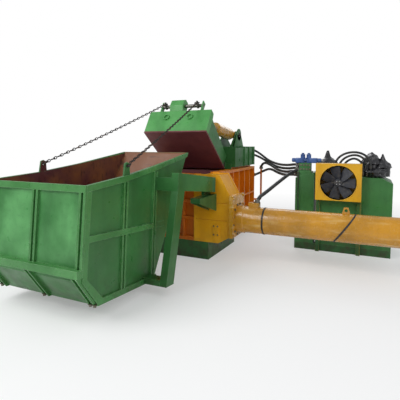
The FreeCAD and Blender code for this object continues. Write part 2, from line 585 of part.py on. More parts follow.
def ring_bosses():
    """Two open ring bosses on the nose, square to its leaning front."""
    rings = []
    lean = "atan2(lid_nose - lid_length; lid_nose_height + lid_drop)"
    face = "lid_length + (lid_nose - lid_length) * (boss_height + lid_drop) / (lid_nose_height + lid_drop)"
    for side in ("", "-"):
        outer = bar("y", ("0", "0", "0"), "boss_depth", "boss_radius")
        inner = bar("y", ("0", "-boss_depth", "0"), "3 * boss_depth", "boss_radius - boss_ring")
        ring = cut(outer, [inner])
        ring.Placement = FreeCAD.Placement(FreeCAD.Vector(), FreeCAD.Rotation(FreeCAD.Vector(1, 0, 0), 5))
        bind(ring, Placement__Rotation__Angle=lean, Placement__Base__x=f"{side}boss_place",
             Placement__Base__y=f"hinge_y - ({face}) - boss_depth * cos({lean})",
             Placement__Base__z=f"hinge_z + boss_height - boss_depth * sin({lean})")
        rings.append(ring)
    return rings


def build_lid_lugs():
    """The paired lugs in the lid's pockets, with the front pins of the lid cylinders."""
    pieces = []
    ear_gap = "(eye_half + eye_side_gap)"
    pin_y, pin_z = "hinge_y - lug_along", "hinge_z + lug_rise"
    for side in ("", "-"):
        middle = f"({side}cylinder_half_gap)"
        for start in (f"{middle} - {ear_gap} - lug_plate_width", f"{middle} + {ear_gap}"):
            pieces.append(side_plate([(f"{pin_y} - eye_radius", "hinge_z + pocket_floor"),
                                      (f"{pin_y} + eye_radius", "hinge_z + pocket_floor"),
                                      (f"{pin_y} + eye_radius", pin_z), (f"{pin_y} - eye_radius", pin_z)],
                                     start, "lug_plate_width"))
            pieces.append(bar("x", (start, pin_y, pin_z), "lug_plate_width", "eye_radius"))
        pieces.append(bar("x", (f"{middle} - {ear_gap}", pin_y, pin_z), f"2 * {ear_gap}", "lid_pin"))
    node("lid_lugs", fused(pieces), with_lid)


def build_chain_head():
    """The cross shaft on the nose with its ears, drive housing and the eyes that hold the chains."""
    shaft_y, shaft_z = "hinge_y - shaft_along", "hinge_z + shaft_height"
    foot = "hinge_z + lid_nose_height"
    eyes = [bar("x", ("-shaft_left - ear_plate", shaft_y, shaft_z),
                "shaft_left + shaft_right + 2 * ear_plate", "shaft_radius")]
    for middle in ("anchor_near", "-anchor_far"):
        start = f"{middle} - ear_plate / 2"
        eye = fused([bar("x", (start, "hinge_y - anchor_along", "hinge_z + anchor_height"), "ear_plate",
                         "anchor_eye"),
                     bar("x", (start, shaft_y, shaft_z), "ear_plate", "shaft_radius + chain_bar")])
        eyes.append(cut(eye, [bar("x", (start, "hinge_y - anchor_along", "hinge_z + anchor_height"), "ear_plate",
                                  "chain_lug_hole")]))
    node("chain_shaft", fused(eyes), with_lid)
    ears = []
    nose_mid = "hinge_y - (lid_nose + lid_nose_back) / 2"
    for start in ("-shaft_left - ear_plate", "shaft_right"):
        ear = side_plate([(f"{nose_mid} - lid_nose_inset", foot), (f"{nose_mid} + lid_nose_inset", foot),
                          (f"{shaft_y} + shaft_radius * 1.5", "hinge_z + ear_top"),
                          (f"{shaft_y} - shaft_radius * 1.5", "hinge_z + ear_top")], start, "ear_plate")
        ears.append(cut(ear, [bar("x", (start, shaft_y, shaft_z), "ear_plate", "shaft_radius")]))
    housing = side_plate([(f"{nose_mid} - lid_nose_inset", foot), (f"{nose_mid} + lid_nose_inset", foot),
                          (f"{shaft_y} + head_half", "hinge_z + shaft_height - head_lift"),
                          (f"{shaft_y} + head_half", "hinge_z + head_top - head_lift"),
                          (f"{shaft_y} + head_lift", "hinge_z + head_top"),
                          (f"{shaft_y} - head_lift", "hinge_z + head_top"),
                          (f"{shaft_y} - head_half", "hinge_z + head_top - head_lift"),
                          (f"{shaft_y} - head_half", "hinge_z + shaft_height - head_lift")],
                         "-head_left", "head_left + head_right")
    bore = bar("x", ("-head_left", shaft_y, shaft_z), "head_left + head_right", "shaft_radius")
    node("chain_head", fused(ears + [cut(housing, [bore])]), with_lid)


def build_lid_cylinders():
    """The two lid cylinders: a bored barrel on the rear pin and a rod with its piston on the lid's pin."""
    inner = "barrel_radius - barrel_wall"
    barrel_outline = [("barrel_root", "0"), ("barrel_root", "barrel_radius * 0.8"),
                      ("barrel_root + barrel_wall", "barrel_radius"), ("barrel_length", "barrel_radius"),
                      ("barrel_length", "rod_radius + gland_clearance"),
                      ("barrel_length - gland_length", "rod_radius + gland_clearance"),
                      ("barrel_length - gland_length", inner),
                      ("barrel_root + barrel_wall * 2", inner), ("barrel_root + barrel_wall * 2", "0")]
    rod_outline = [("0", "0"), ("0", "rod_neck"), ("eye_radius + rod_shoulder", "rod_neck"),
                   ("eye_radius + rod_shoulder", "rod_radius"),
                   ("rod_length - piston_length", "rod_radius"),
                   ("rod_length - piston_length", f"{inner} - piston_clearance"),
                   ("rod_length", f"{inner} - piston_clearance"), ("rod_length", "0")]
    for side, sign in (("right", ""), ("left", "-")):
        middle = f"{sign}cylinder_half_gap"
        for kind, outline, radius, half, turn in (
                ("barrel", barrel_outline, "rear_eye_radius", "rear_eye_half", -90),
                ("rod", rod_outline, "eye_radius", "eye_half", 90)):
            body = turned(outline)
            body.Placement = FreeCAD.Placement(FreeCAD.Vector(), FreeCAD.Rotation(FreeCAD.Vector(0, 0, 1), turn))
            eye = bar("x", (f"-{half}", "0", "0"), f"2 * {half}", radius)
            bore = bar("x", (f"-2 * {half}", "0", "0"), f"4 * {half}", "lid_pin + hinge_running_gap")
            piece = cut(fused([body, eye]), [bore])
            piece.Placement = FreeCAD.Placement(FreeCAD.Vector(), FreeCAD.Rotation(FreeCAD.Vector(1, 0, 0), -7))
            bind(piece, Placement__Rotation__Angle="cylinder_tip", Placement__Base__x=middle)
            if kind == "barrel":
                bind(piece, Placement__Base__y="stand_y", Placement__Base__z="stand_z")
            else:
                opened = "opening_angle + lug_angle"
                arm = "sqrt(lug_along * lug_along + lug_rise * lug_rise)"
                bind(piece, Placement__Base__y=f"hinge_y - {arm} * cos({opened})",
                     Placement__Base__z=f"hinge_z + {arm} * sin({opened})")
            node(f"lid_{kind}_{side}", piece)


def plan_strip(inner, outer):
    """A tall strip along the hopper's flared far wall, between two offsets from its outer face."""
    return floor_plate([(f"-far_rear_x + {inner}", "-rear_low_y"), (f"-far_front_x + {inner}", "-tip_y"),
                        (f"-far_front_x + {outer}", "-tip_y"), (f"-far_rear_x + {outer}", "-rear_low_y")],
                       f"-{FULL_WIDTH}", f"3 * {FULL_WIDTH}")


def hopper_plan():
    """The hopper's footprint: square at the near side, flared at the far side."""
    return floor_plate([("hopper_near", "-rear_low_y"), ("hopper_near", "-tip_y"),
                        ("-far_front_x", "-tip_y"), ("-far_rear_x", "-rear_low_y")],
                       f"-{FULL_WIDTH}", f"3 * {FULL_WIDTH}")


INNER_LINE = [("-rear_top_y + hopper_skin", "rear_top_z"), ("-rear_low_y + hopper_skin", "rear_low_z"),
              ("-keel_rear_y + hopper_skin / 2", "hopper_skin"), ("-keel_front_y - hopper_skin / 2", "hopper_skin"),
              ("-tip_y - hopper_skin", "tip_z - hopper_skin")]
OUTER_LINE = [("-rear_top_y", "rear_top_z"), ("-rear_low_y", "rear_low_z"), ("-keel_rear_y", "0"),
              ("-keel_front_y", "0"), ("-tip_y", "tip_z")]
RIM_LINE = [("-kink_two_y", "kink_two_z"), ("-kink_one_y", "kink_one_z")]


def shell_plate(index):
    """One plate of the hopper's shell, between its inner and outer line, in the hopper's footprint."""
    corners = [INNER_LINE[index], INNER_LINE[index + 1], OUTER_LINE[index + 1], OUTER_LINE[index]]
    return shared(side_plate(corners, f"-{FULL_WIDTH}", f"2 * {FULL_WIDTH}"), hopper_plan())


def rear_line(height):
    """The y of the hopper's leaning rear face at a height."""
    return f"-rear_top_y - (rear_top_z - ({height})) * (rear_low_y - rear_top_y) / (rear_top_z - rear_low_z)"


def side_frame_pieces(start, width):
    """The stiffening frame on a hopper side: rim rail, band, keel rail, rear rail and double posts."""
    rim = [("-rear_top_y", "rear_top_z"), RIM_LINE[1], RIM_LINE[0], ("-tip_y", "tip_z")]
    lower = [(y, f"{z} - rail_depth") for y, z in reversed(rim)]
    front_slope = "(keel_front_y - tip_y) / tip_z"
    lower[0] = (f"-tip_y - rail_depth * {front_slope}", "tip_z - rail_depth")
    pieces = [side_plate(rim + lower, start, width)]
    pieces.append(side_plate([(rear_line("band_low"), "band_low"),
                              ("-post_two", "band_low"), ("-post_two", "band_low + rail_depth"),
                              (rear_line("band_low + rail_depth"), "band_low + rail_depth")], start, width))
    pieces.append(side_plate([("-keel_rear_y", "0"), ("-keel_front_y", "0"),
                              (f"-keel_front_y + rail_depth * {front_slope}", "rail_depth"),
                              ("-keel_rear_y - rail_depth * 0.8", "rail_depth")], start, width))
    pieces.append(side_plate([(rear_line("rear_top_z - rail_depth"), "rear_top_z - rail_depth"),
                              ("-rear_low_y", "rear_low_z"),
                              ("-keel_rear_y - rail_depth * 0.8", "rail_depth"),
                              ("-keel_rear_y + rail_depth", "rail_depth"),
                              ("-rear_low_y + rail_depth", "rear_low_z + hopper_skin"),
                              ("-rear_top_y + rail_depth", "rear_top_z - rail_depth + hopper_skin / 4")],
                             start, width))
    for place, top in (("post_one", "kink_one_z - rail_depth"), ("post_two", "kink_two_z - rail_depth * 1.1")):
        for step in ("0", "post_bar + post_gap"):
            pieces.append(side_plate([(f"-{place} + {step}", "rail_depth"),
                                      (f"-{place} + {step} + post_bar", "rail_depth"),
                                      (f"-{place} + {step} + post_bar", top), (f"-{place} + {step}", top)],
                                     start, width))
    return pieces


def build_hopper_shell():
    """The hopper's plates: straight near side, flared far side, rear wall, keel and front chute."""
    outline = INNER_LINE + RIM_LINE
    near_lug, far_lug = chain_lugs()
    near = side_plate(outline, "hopper_inner", "hopper_skin")
    node("hopper_near_side", fused([near, near_lug]), with_hopper)
    far = shared(side_plate(outline, f"-{FULL_WIDTH}", f"2 * {FULL_WIDTH}"), plan_strip("0", "hopper_skin"))
    node("hopper_far_side", fused([far, far_lug]), with_hopper)
    node("hopper_rear_wall", shell_plate(0), with_hopper)
    node("hopper_floor", fused([shell_plate(1), shell_plate(2)]), with_hopper)
    node("hopper_chute", shell_plate(3), with_hopper)


def build_hopper_frames():
    """The rails and posts that stiffen the hopper's sides and rear, and its ledge, gussets and feet."""
    node("hopper_near_frame", fused(side_frame_pieces("hopper_near", "rail_stand")), with_hopper)
    far = fused(side_frame_pieces(f"-{FULL_WIDTH}", f"2 * {FULL_WIDTH}"))
    node("hopper_far_frame", shared(far, plan_strip("-rail_stand", "0")), with_hopper)
    width = ("-far_rear_x", "hopper_near + rail_stand")

    def rear_strip(low, high, left, wide, stand):
        """A bar on the leaning rear wall, between two heights."""
        return side_plate([(rear_line(low), low), (rear_line(high), high),
                           (f"{rear_line(high)} - {stand}", high), (f"{rear_line(low)} - {stand}", low)],
                          left, wide)

    full = f"{width[1]} - ({width[0]})"
    rails = [rear_strip("rear_top_z - rear_rail_height", "rear_top_z", width[0], full, "rear_rail_stand")]
    for post in ("-rear_post_far", "-rear_post_middle", "rear_post_near"):
        for step in ("0", "post_bar + post_gap"):
            rails.append(rear_strip("ledge_low + ledge_height", "rear_top_z - rear_rail_height",
                                    f"{post} + {step}", "post_bar", "rear_rail_stand"))
    rails.append(rear_strip("ledge_low", "ledge_low + ledge_height", width[0], full, "ledge_reach"))
    for post in ("-rear_post_far", "-rear_post_middle", "rear_post_near"):
        for step in ("0", "post_bar + post_gap"):
            rails.append(side_plate([("-rear_low_y", "rear_low_z"),
                                       ("-rear_low_y", "ledge_low"),
                                       ("-rear_low_y - ledge_reach", "ledge_low"),
                                       ("-keel_rear_y - ledge_reach / 2", "0"), ("-keel_rear_y", "0")],
                                      f"{post} + {step}", "gusset_thickness"))
    node("hopper_rear_frame", fused(rails), with_hopper)


def build_side_frames():
    """The C-shaped frames: a leaning column, beams to the hopper side and an arm to the pivot."""
    profile = [("-column_foot_y", "column_foot_z"), ("-column_foot_y + column_depth", "column_foot_z"),
               ("-column_head_y + column_depth", "column_head_z"), ("-arm_end_y", "arm_end_low"),
               ("-arm_end_y", "arm_end_high"), ("-column_head_y", "arm_root_z"),
               ("-column_head_y", "column_head_z")]
    for side in ("near", "far"):
        near = side == "near"
        start = "frame_inner" if near else "-frame_outer"
        side_x = ("hopper_near", "frame_inner") if near else ("-frame_inner", "-far_front_x")
        pieces = [side_plate(profile, start, "frame_width"),
                  block(side_x, ("-column_head_y", "-column_head_y + column_depth"),
                        ("column_head_z", "arm_root_z - rail_depth")),
                  block(side_x, ("-column_foot_y", "-column_foot_y + column_depth"),
                        ("column_foot_z", "column_foot_z + foot_beam_height"))]
        bore_x = "frame_inner" if near else "-frame_outer + hopper_skin"
        bore = bar("x", (bore_x, "-pivot_y", "pivot_z"), "frame_width - hopper_skin", "pivot_pin + pivot_gap")
        if near:
            body = side_frame_cleared(fused(pieces), "hopper_near")
        else:
            body = cut(fused(pieces), [hopper_plan(), plan_strip("-rail_stand", "0")])
        node(f"c_frame_{side}", cut(body, [bore]), with_hopper)


def side_frame_cleared(piece, face):
    """Let the frame's beams butt on the hopper side and its rails."""
    return cut(piece, side_frame_pieces(face, "rail_stand"))


def chain_lugs():
    """An ear on each hopper rim, in line with the side plate, with the hole for the chain."""
    foot = "kink_one_z + (kink_two_z - kink_one_z) * (kink_one_y - chain_lug_y) / (kink_one_y - kink_two_y)"
    slope = "(kink_two_z - kink_one_z) / (kink_one_y - kink_two_y)"
    outline = [("-chain_lug_y - chain_lug_half", f"{foot} - chain_lug_half * {slope}"),
               ("-chain_lug_y + chain_lug_half", f"{foot} + chain_lug_half * {slope}"),
               ("-chain_lug_y + chain_lug_half * 0.7", "chain_lug_z + chain_lug_half * 0.5"),
               ("-chain_lug_y", "chain_lug_z + chain_lug_half * 0.8"),
               ("-chain_lug_y - chain_lug_half * 0.7", "chain_lug_z + chain_lug_half * 0.5")]
    hole = [("-chain_lug_y", "chain_lug_z", "chain_lug_hole")]
    near = side_plate(outline, "hopper_inner", "hopper_skin", hole)
    far = side_plate(outline, f"{far_side_at_lug()} - hopper_skin / 2", "hopper_skin", hole)
    return near, far


def far_side_at_lug():
    """The middle of the far side plate where its chain lug stands."""
    share = "(rear_low_y - chain_lug_y) / (rear_low_y - tip_y)"
    return f"(-far_rear_x + (far_rear_x - far_front_x) * {share} + hopper_skin / 2)"


def chain_link(length, width, thick):
    """One flat-sided link: a rounded-end frame of square bar, lying in its own xz plane."""
    outer = Part.makeBox(length, thick, width, FreeCAD.Vector(-length / 2, -thick / 2, -width / 2))
    slot = Part.makeBox(length - 2 * thick, thick, width - 2 * thick,
                        FreeCAD.Vector(thick - length / 2, -thick / 2, thick - width / 2))
    edges = [edge for edge in outer.Edges if abs(edge.tangentAt(edge.FirstParameter).y) > 0.9]
    return outer.makeFillet(width * 0.35, edges).cut(slot)


def half_chain(label, pin, target, rise):
    """Half a chain as a shackle and alternating links, from its pin to the middle of the run."""
    thick, pitch, width = size("chain_bar"), size("chain_pitch"), size("chain_link_width")
    gap, cheek = size("shackle_gap"), size("shackle_plate")
    throat = size("shackle_length")
    run = (target - pin) / 2
    lift = FreeCAD.Vector(0, -abs(run.z), abs(run.y)).normalize() * rise
    aim = run + lift
    reach = aim.Length
    outer = size("hopper_skin") / 2 + size("shackle_side_gap")
    along_x = FreeCAD.Vector(1, 0, 0)
    shackle = [Part.makeCylinder(size("chain_lug_hole") - gap, 2 * (outer + cheek),
                                 FreeCAD.Vector(-outer - cheek, 0, 0), along_x)]
    for low in (-outer - cheek, outer):
        shackle.append(Part.makeCylinder(width / 2, cheek, FreeCAD.Vector(low, 0, 0), along_x))
        shackle.append(Part.makeBox(cheek, throat, width, FreeCAD.Vector(low, 0, -width / 2)))
    shackle.append(Part.makeBox(2 * (outer + cheek), thick, width,
                                FreeCAD.Vector(-outer - cheek, throat, -width / 2)))
    solids = [shackle[0].multiFuse(shackle[1:]).removeSplitter()]
    seat = size("pivot_gap")
    room = reach - throat - thick - size("joint_gap")
    count = max(int(room / pitch), 2)
    step = (room - thick) / count
    loop = chain_link(step + thick, width, thick)
    for turn in range(count):
        piece = loop.copy()
        piece.rotate(FreeCAD.Vector(), FreeCAD.Vector(0, 0, 1), 90)
        if turn % 2 == 0:
            piece.rotate(FreeCAD.Vector(), FreeCAD.Vector(0, 1, 0), 90)
        piece.translate(FreeCAD.Vector(0, throat + thick + seat + (step + thick) / 2 + turn * step, 0))
        solids.append(piece)
    chain = solids[0]
    for solid in solids[1:]:
        chain = chain.fuse(solid)
    feature = doc.addObject("Part::Feature", "Chain")
    feature.Shape = chain.removeSplitter()
    turn = FreeCAD.Rotation(FreeCAD.Vector(1, 0, 0), aim, FreeCAD.Vector(0, 0, 1), "YXZ")
    feature.Placement = FreeCAD.Placement(pin, turn)
    return node(label, feature)


def turned_about(y, z, centre_y, centre_z, degrees):
    """A point turned about an x axis, the viewer's side going up."""
    angle = math.radians(degrees)
    across, up = y - centre_y, z - centre_z
    return (centre_y + across * math.cos(angle) + up * math.sin(angle),
            centre_z - across * math.sin(angle) + up * math.cos(angle))


def build_chains():
    """Both chains, from the hopper's lugs to the eyes on the cross shaft, each in two halves."""
    lug = turned_about(-size("chain_lug_y"), size("chain_lug_z"), -size("pivot_y"), size("pivot_z"), size("tilt"))
    eye = turned_about(size("hinge_y") - size("anchor_along"), size("hinge_z") + size("anchor_height"),
                       size("hinge_y"), size("hinge_z"), size("lid_opening"))
    share = (size("rear_low_y") - size("chain_lug_y")) / (size("rear_low_y") - size("tip_y"))
    flare = size("far_rear_x") - size("far_front_x")
    far_x = -size("far_rear_x") + flare * share + size("hopper_skin") / 2
    near_x = size("hopper_near") - size("hopper_skin") / 2
    for side, lug_x, eye_x in (("near", near_x, size("anchor_near")), ("far", far_x, -size("anchor_far"))):
        low, high = FreeCAD.Vector(lug_x, *lug), FreeCAD.Vector(eye_x, *eye)
        half_chain(f"{side}_chain_lower", low, high, size("half_offset"))
        half_chain(f"{side}_chain_upper", high, low, -size("half_offset"))


def build_power_unit():
    """The power unit behind the cylinder: a rail frame, two tanks and what stands on them."""
    rails = [block(("unit_left", "unit_right"), (front, f"{front} + unit_rail"), ("0", "unit_rail"))
             for front in ("unit_front", "unit_rear - unit_rail")]
    ends = [block((left, f"{left} + unit_rail"), ("unit_front", "unit_rear"), ("0", "unit_rail"))
            for left in ("unit_left", "unit_right - unit_rail")]
    node("unit_rails", fused(rails + ends))
    left = front_plate([("unit_left", "unit_rail"), ("left_tank_right", "unit_rail"),
                        ("left_tank_right", "neck_height"), ("shoulder_start", "left_tank_height + left_tank_step"),
                        ("unit_left", "left_tank_height")], "unit_front", "unit_rear - unit_front")
    right = front_plate([("right_tank_left", "unit_rail"), ("unit_right", "unit_rail"),
                         ("unit_right", "right_tank_height - right_tank_shoulder"),
                         ("unit_right - right_tank_shoulder * 2", "right_tank_height"),
                         ("right_tank_left", "right_tank_height")], "unit_front", "unit_rear - unit_front")
    node("oil_tanks", fused([left, right]))
    build_cooler()
    build_unit_fittings()


def build_cooler():
    """The air cooler on its two legs: a square ring housing, a core, and the fan on its axle."""
    front, rear = "cooler_front", "cooler_front + cooler_depth"
    body = block(("cooler_left", "cooler_right"), (front, rear), ("cooler_low", "cooler_high"))
    mouth = bar("y", ("fan_x", f"{front} - cooler_frame", "fan_z"), "cooler_depth", "fan_ring")
    axle = bar("y", ("fan_x", f"{front} + cooler_frame", "fan_z"), "cooler_depth - 2 * cooler_frame", "fan_axle")
    legs = [block((left, f"{left} + cooler_leg"), (f"{rear} - cooler_leg", rear), ("0", "cooler_low"))
            for left in ("cooler_left", "cooler_right - cooler_leg")]
    node("cooler_housing", fused([cut(body, [mouth]), axle] + legs))
    hub = bar("y", ("fan_x", f"{front} + blade_thickness", "fan_z"), "fan_hub_depth", "fan_hub")
    blades = []
    for turn in range(6):
        blade = block(("0", "fan_tip"), ("-blade_thickness / 2", "blade_thickness / 2"),
                      ("-blade_width / 2", "blade_width / 2"))
        pitched = doc.addObject("Part::MultiFuse", "Blade")
        pitched.Shapes = [blade, bar("x", ("0", "0", "0"), "fan_hub", "blade_thickness")]
        pitched.Placement = FreeCAD.Placement(FreeCAD.Vector(), FreeCAD.Rotation(FreeCAD.Vector(1, 0, 0), 30))
        bind(pitched, Placement__Rotation__Angle="blade_pitch")
        spun = doc.addObject("Part::MultiFuse", "Spun")
        spun.Shapes = [pitched, bar("y", ("0", "-blade_thickness", "0"), "2 * blade_thickness", "fan_axle")]
        spun.Placement = FreeCAD.Placement(FreeCAD.Vector(), FreeCAD.Rotation(FreeCAD.Vector(0, 1, 0), turn * 60))
        bind(spun, Placement__Base__x="fan_x", Placement__Base__z="fan_z",
             Placement__Base__y=f"{front} + blade_thickness + fan_hub_depth / 2")
        blades.append(spun)
    bore = bar("y", ("fan_x", f"{front} - fan_hub_depth", "fan_z"), "4 * fan_hub_depth",
               "fan_axle + hinge_running_gap")
    node("cooler_fan", cut(fused([hub] + blades), [bore]))


def build_unit_fittings():
    """The valve block, valves and motors on the tanks, and the bent return pipe."""
    base = "neck_height"
    rear_of_block = "unit_front + manifold_depth"
    plate = block(("manifold_left", "manifold_right"), ("unit_front", rear_of_block),
                  ("left_tank_height", "manifold_low"))
    body = block(("manifold_left + plate_rise", "manifold_right - plate_rise"),
                 ("unit_front + plate_rise", f"{rear_of_block} - plate_rise"), ("manifold_low", "manifold_high"))
    node("valve_block", cut(fused([plate, body]), [copy_of_left_tank()]))
    valves = []
    for turn in range(2):
        middle = f"manifold_left + 0.3 * (manifold_right - manifold_left) + {turn} * valve_pitch"
        valves.append(bar("z", (middle, "unit_front + manifold_depth / 2", "manifold_high"), "valve_length",
                          "valve_radius"))
        valves.append(bar("z", (middle, "unit_front + manifold_depth / 2", "manifold_high + valve_length"),
                          "knob_radius", "knob_radius"))
    node("valves", fused(valves))
    depth = "(unit_front + unit_rear) / 2"
    motor = [bar("z", ("motor_x", depth, "right_tank_height"), "motor_height", "motor_radius"),
             bar("z", ("motor_x", depth, "right_tank_height + motor_height"), "motor_height / 3", "pump_radius")]
    node("pump_motor", fused(motor))
    wrapped = [bar("z", (f"wrapped_first + {turn} * wrapped_pitch", depth, "right_tank_height"),
                   "wrapped_height", "wrapped_radius") for turn in range(2)]
    node("wrapped_motors", fused(wrapped))


def copy_of_left_tank():
    """The left tank's outline again, to fit what sits on its sloping shoulder."""
    return front_plate([("unit_left", "unit_rail"), ("left_tank_right", "unit_rail"),
                        ("left_tank_right", "neck_height"), ("shoulder_start", "left_tank_height + left_tank_step"),
                        ("unit_left", "left_tank_height")], "unit_front", "unit_rear - unit_front")


build_base()
build_chamber()
build_front_wall()
build_channel()
build_main_cylinder()
build_upper_box()
build_hinge()
build_stands()
build_pivot_brackets()
build_lid()
build_chain_head()
build_lid_cylinders()
build_hopper_shell()
build_hopper_frames()
build_side_frames()
build_chains()
build_power_unit()

doc.recompute()
for thing in doc.Objects:
    if any(state in thing.State for state in BROKEN_STATES):
        raise RuntimeError(f"{thing.Name} ({thing.Label}) did not build")
for label, piece in nodes.items():
    if piece.Shape.isNull() or not piece.Shape.isValid():
        raise RuntimeError(f"{label} is not a sound solid")

os.makedirs("parts", exist_ok=True)
for label, piece in nodes.items():
    piece.Shape.exportStep(f"parts/{label}.step")
    box = piece.Shape.BoundBox
    print(f"{label}: {len(piece.Shape.Solids)} solids, {piece.Shape.Volume / 1e9:.4f} m3, "
          f"x {box.XMin:.0f}..{box.XMax:.0f} y {box.YMin:.0f}..{box.YMax:.0f} z {box.ZMin:.0f}..{box.ZMax:.0f}")
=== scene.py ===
"""Looks of the scrap baler: enamelled plate, film-wrapped cylinder, hoses, bolts and weld beads.

Every length is in metres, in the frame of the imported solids.
"""

import logging
import math
import random
from dataclasses import dataclass, field
from enum import Enum
from typing import Callable, Iterable

import bpy
from mathutils import Matrix, Vector


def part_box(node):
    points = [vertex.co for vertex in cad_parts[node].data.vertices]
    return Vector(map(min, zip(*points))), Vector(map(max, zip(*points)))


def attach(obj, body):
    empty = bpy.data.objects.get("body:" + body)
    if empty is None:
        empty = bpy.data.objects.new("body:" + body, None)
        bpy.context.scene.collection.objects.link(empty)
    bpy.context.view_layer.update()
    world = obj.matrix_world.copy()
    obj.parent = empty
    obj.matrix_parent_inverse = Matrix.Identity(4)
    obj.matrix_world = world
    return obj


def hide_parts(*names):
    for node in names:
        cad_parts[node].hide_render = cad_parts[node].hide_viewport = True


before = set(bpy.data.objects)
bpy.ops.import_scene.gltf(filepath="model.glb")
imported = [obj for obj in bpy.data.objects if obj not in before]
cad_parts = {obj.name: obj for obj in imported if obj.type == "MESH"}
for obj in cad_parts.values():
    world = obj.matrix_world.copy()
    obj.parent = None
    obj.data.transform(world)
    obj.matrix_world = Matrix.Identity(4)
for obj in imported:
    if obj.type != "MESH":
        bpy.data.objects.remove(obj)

LOG = logging.getLogger("scrap_baler")
Point = tuple[float, float, float]
Colour = tuple[float, float, float]

PRESS, LID, HOPPER, FAN = "press", "lid", "hopper", "fan"
HOPPER_PIVOT = (-0.745, 1.2)
REST_TILT = math.radians(4.5)
TUBE_AXIS = (-0.3825, 0.65)


class Axis(Enum):
    """The three directions a round piece can point along."""

    X = (1.0, 0.0, 0.0)
    Y = (0.0, 1.0, 0.0)
    Z = (0.0, 0.0, 1.0)


def linear(colour: Colour) -> tuple[float, float, float, float]:
    """A colour read off a screen, as the shader's linear value.

    Args:
        colour: Red, green and blue from 0 to 255.

    Returns:
        The four linear channels.
    """
    channels = []
    for value in colour:
        share = value / 255
        channels.append(share / 12.92 if share <= 0.04045 else ((share + 0.055) / 1.055) ** 2.4)
    return channels[0], channels[1], channels[2], 1.0


# ---- finishes


class Shade:
    """Adds shader nodes to one material and joins them up."""

    def __init__(self, name: str) -> None:
        """Start a material that holds a Principled shader and object coordinates."""
        self.material = bpy.data.materials.new(name)
        self.material.use_nodes = True
        self.tree = self.material.node_tree
        self.surface = next(n for n in self.tree.nodes if n.type == "BSDF_PRINCIPLED")
        self.coordinates = self.tree.nodes.new("ShaderNodeTexCoord")

    def add(self, kind: str, inputs: dict | None = None, **settings: object) -> bpy.types.Node:
        """Add a shader node.

        Args:
            kind: The node's type without its ShaderNode prefix.
            inputs: Socket name or number to a value or to the socket that feeds it.
            settings: The node's own settings.

        Returns:
            The new node.
        """
        new = self.tree.nodes.new(f"ShaderNode{kind}")
        for key, value in settings.items():
            setattr(new, key, value)
        for key, value in (inputs or {}).items():
            if isinstance(value, bpy.types.NodeSocket):
                self.tree.links.new(value, new.inputs[key])
            else:
                new.inputs[key].default_value = value
        return new

    def feed(self, socket: str, source: bpy.types.NodeSocket) -> None:
        """Join a socket to the Principled shader."""
        self.tree.links.new(source, self.surface.inputs[socket])

    def cloud(self, scale: float, detail: float = 3.0, stretch: Point = (1, 1, 1)) -> bpy.types.NodeSocket:
        """A soft noise over the piece, stretched along the axes.

        Args:
            scale: Patches to a metre.
            detail: Octaves of the noise.
            stretch: How much faster the noise changes along each axis.

        Returns:
            The noise value, from 0 to 1.
        """
        place = self.add("Mapping", {"Vector": self.coordinates.outputs["Object"], "Scale": stretch})
        noise = self.add("TexNoise", {"Vector": place.outputs[0], "Scale": scale, "Detail": detail})
        return noise.outputs[0]

    def span(self, source: bpy.types.NodeSocket, low: float, high: float,
             start: float = 0.0, end: float = 1.0) -> bpy.types.NodeSocket:
        """Map low and high of a value to start and end, clamped."""
        return self.add("MapRange", {"Value": source, "From Min": low, "From Max": high,
                                     "To Min": start, "To Max": end}).outputs[0]

    def times(self, first: bpy.types.NodeSocket, second: bpy.types.NodeSocket | float) -> bpy.types.NodeSocket:
        """The product of two values."""
        return self.add("Math", {0: first, 1: second}, operation="MULTIPLY").outputs[0]


def colour_mix(shade: Shade, share: object, first: object, second: object) -> bpy.types.NodeSocket:
    """Mix two colours with a Mix node's colour sockets.

    Args:
        shade: The material being made.
        share: The socket or number that says how much of the second colour shows.
        first: The first colour, or the socket that gives it.
        second: The second colour, or the socket that gives it.

    Returns:
        The socket of the mixed colour.
    """
    mixed = shade.tree.nodes.new("ShaderNodeMix")
    mixed.data_type = "RGBA"
    for number, value in ((0, share), (6, first), (7, second)):
        if isinstance(value, bpy.types.NodeSocket):
            shade.tree.links.new(value, mixed.inputs[number])
        else:
            mixed.inputs[number].default_value = value
    return mixed.outputs[2]


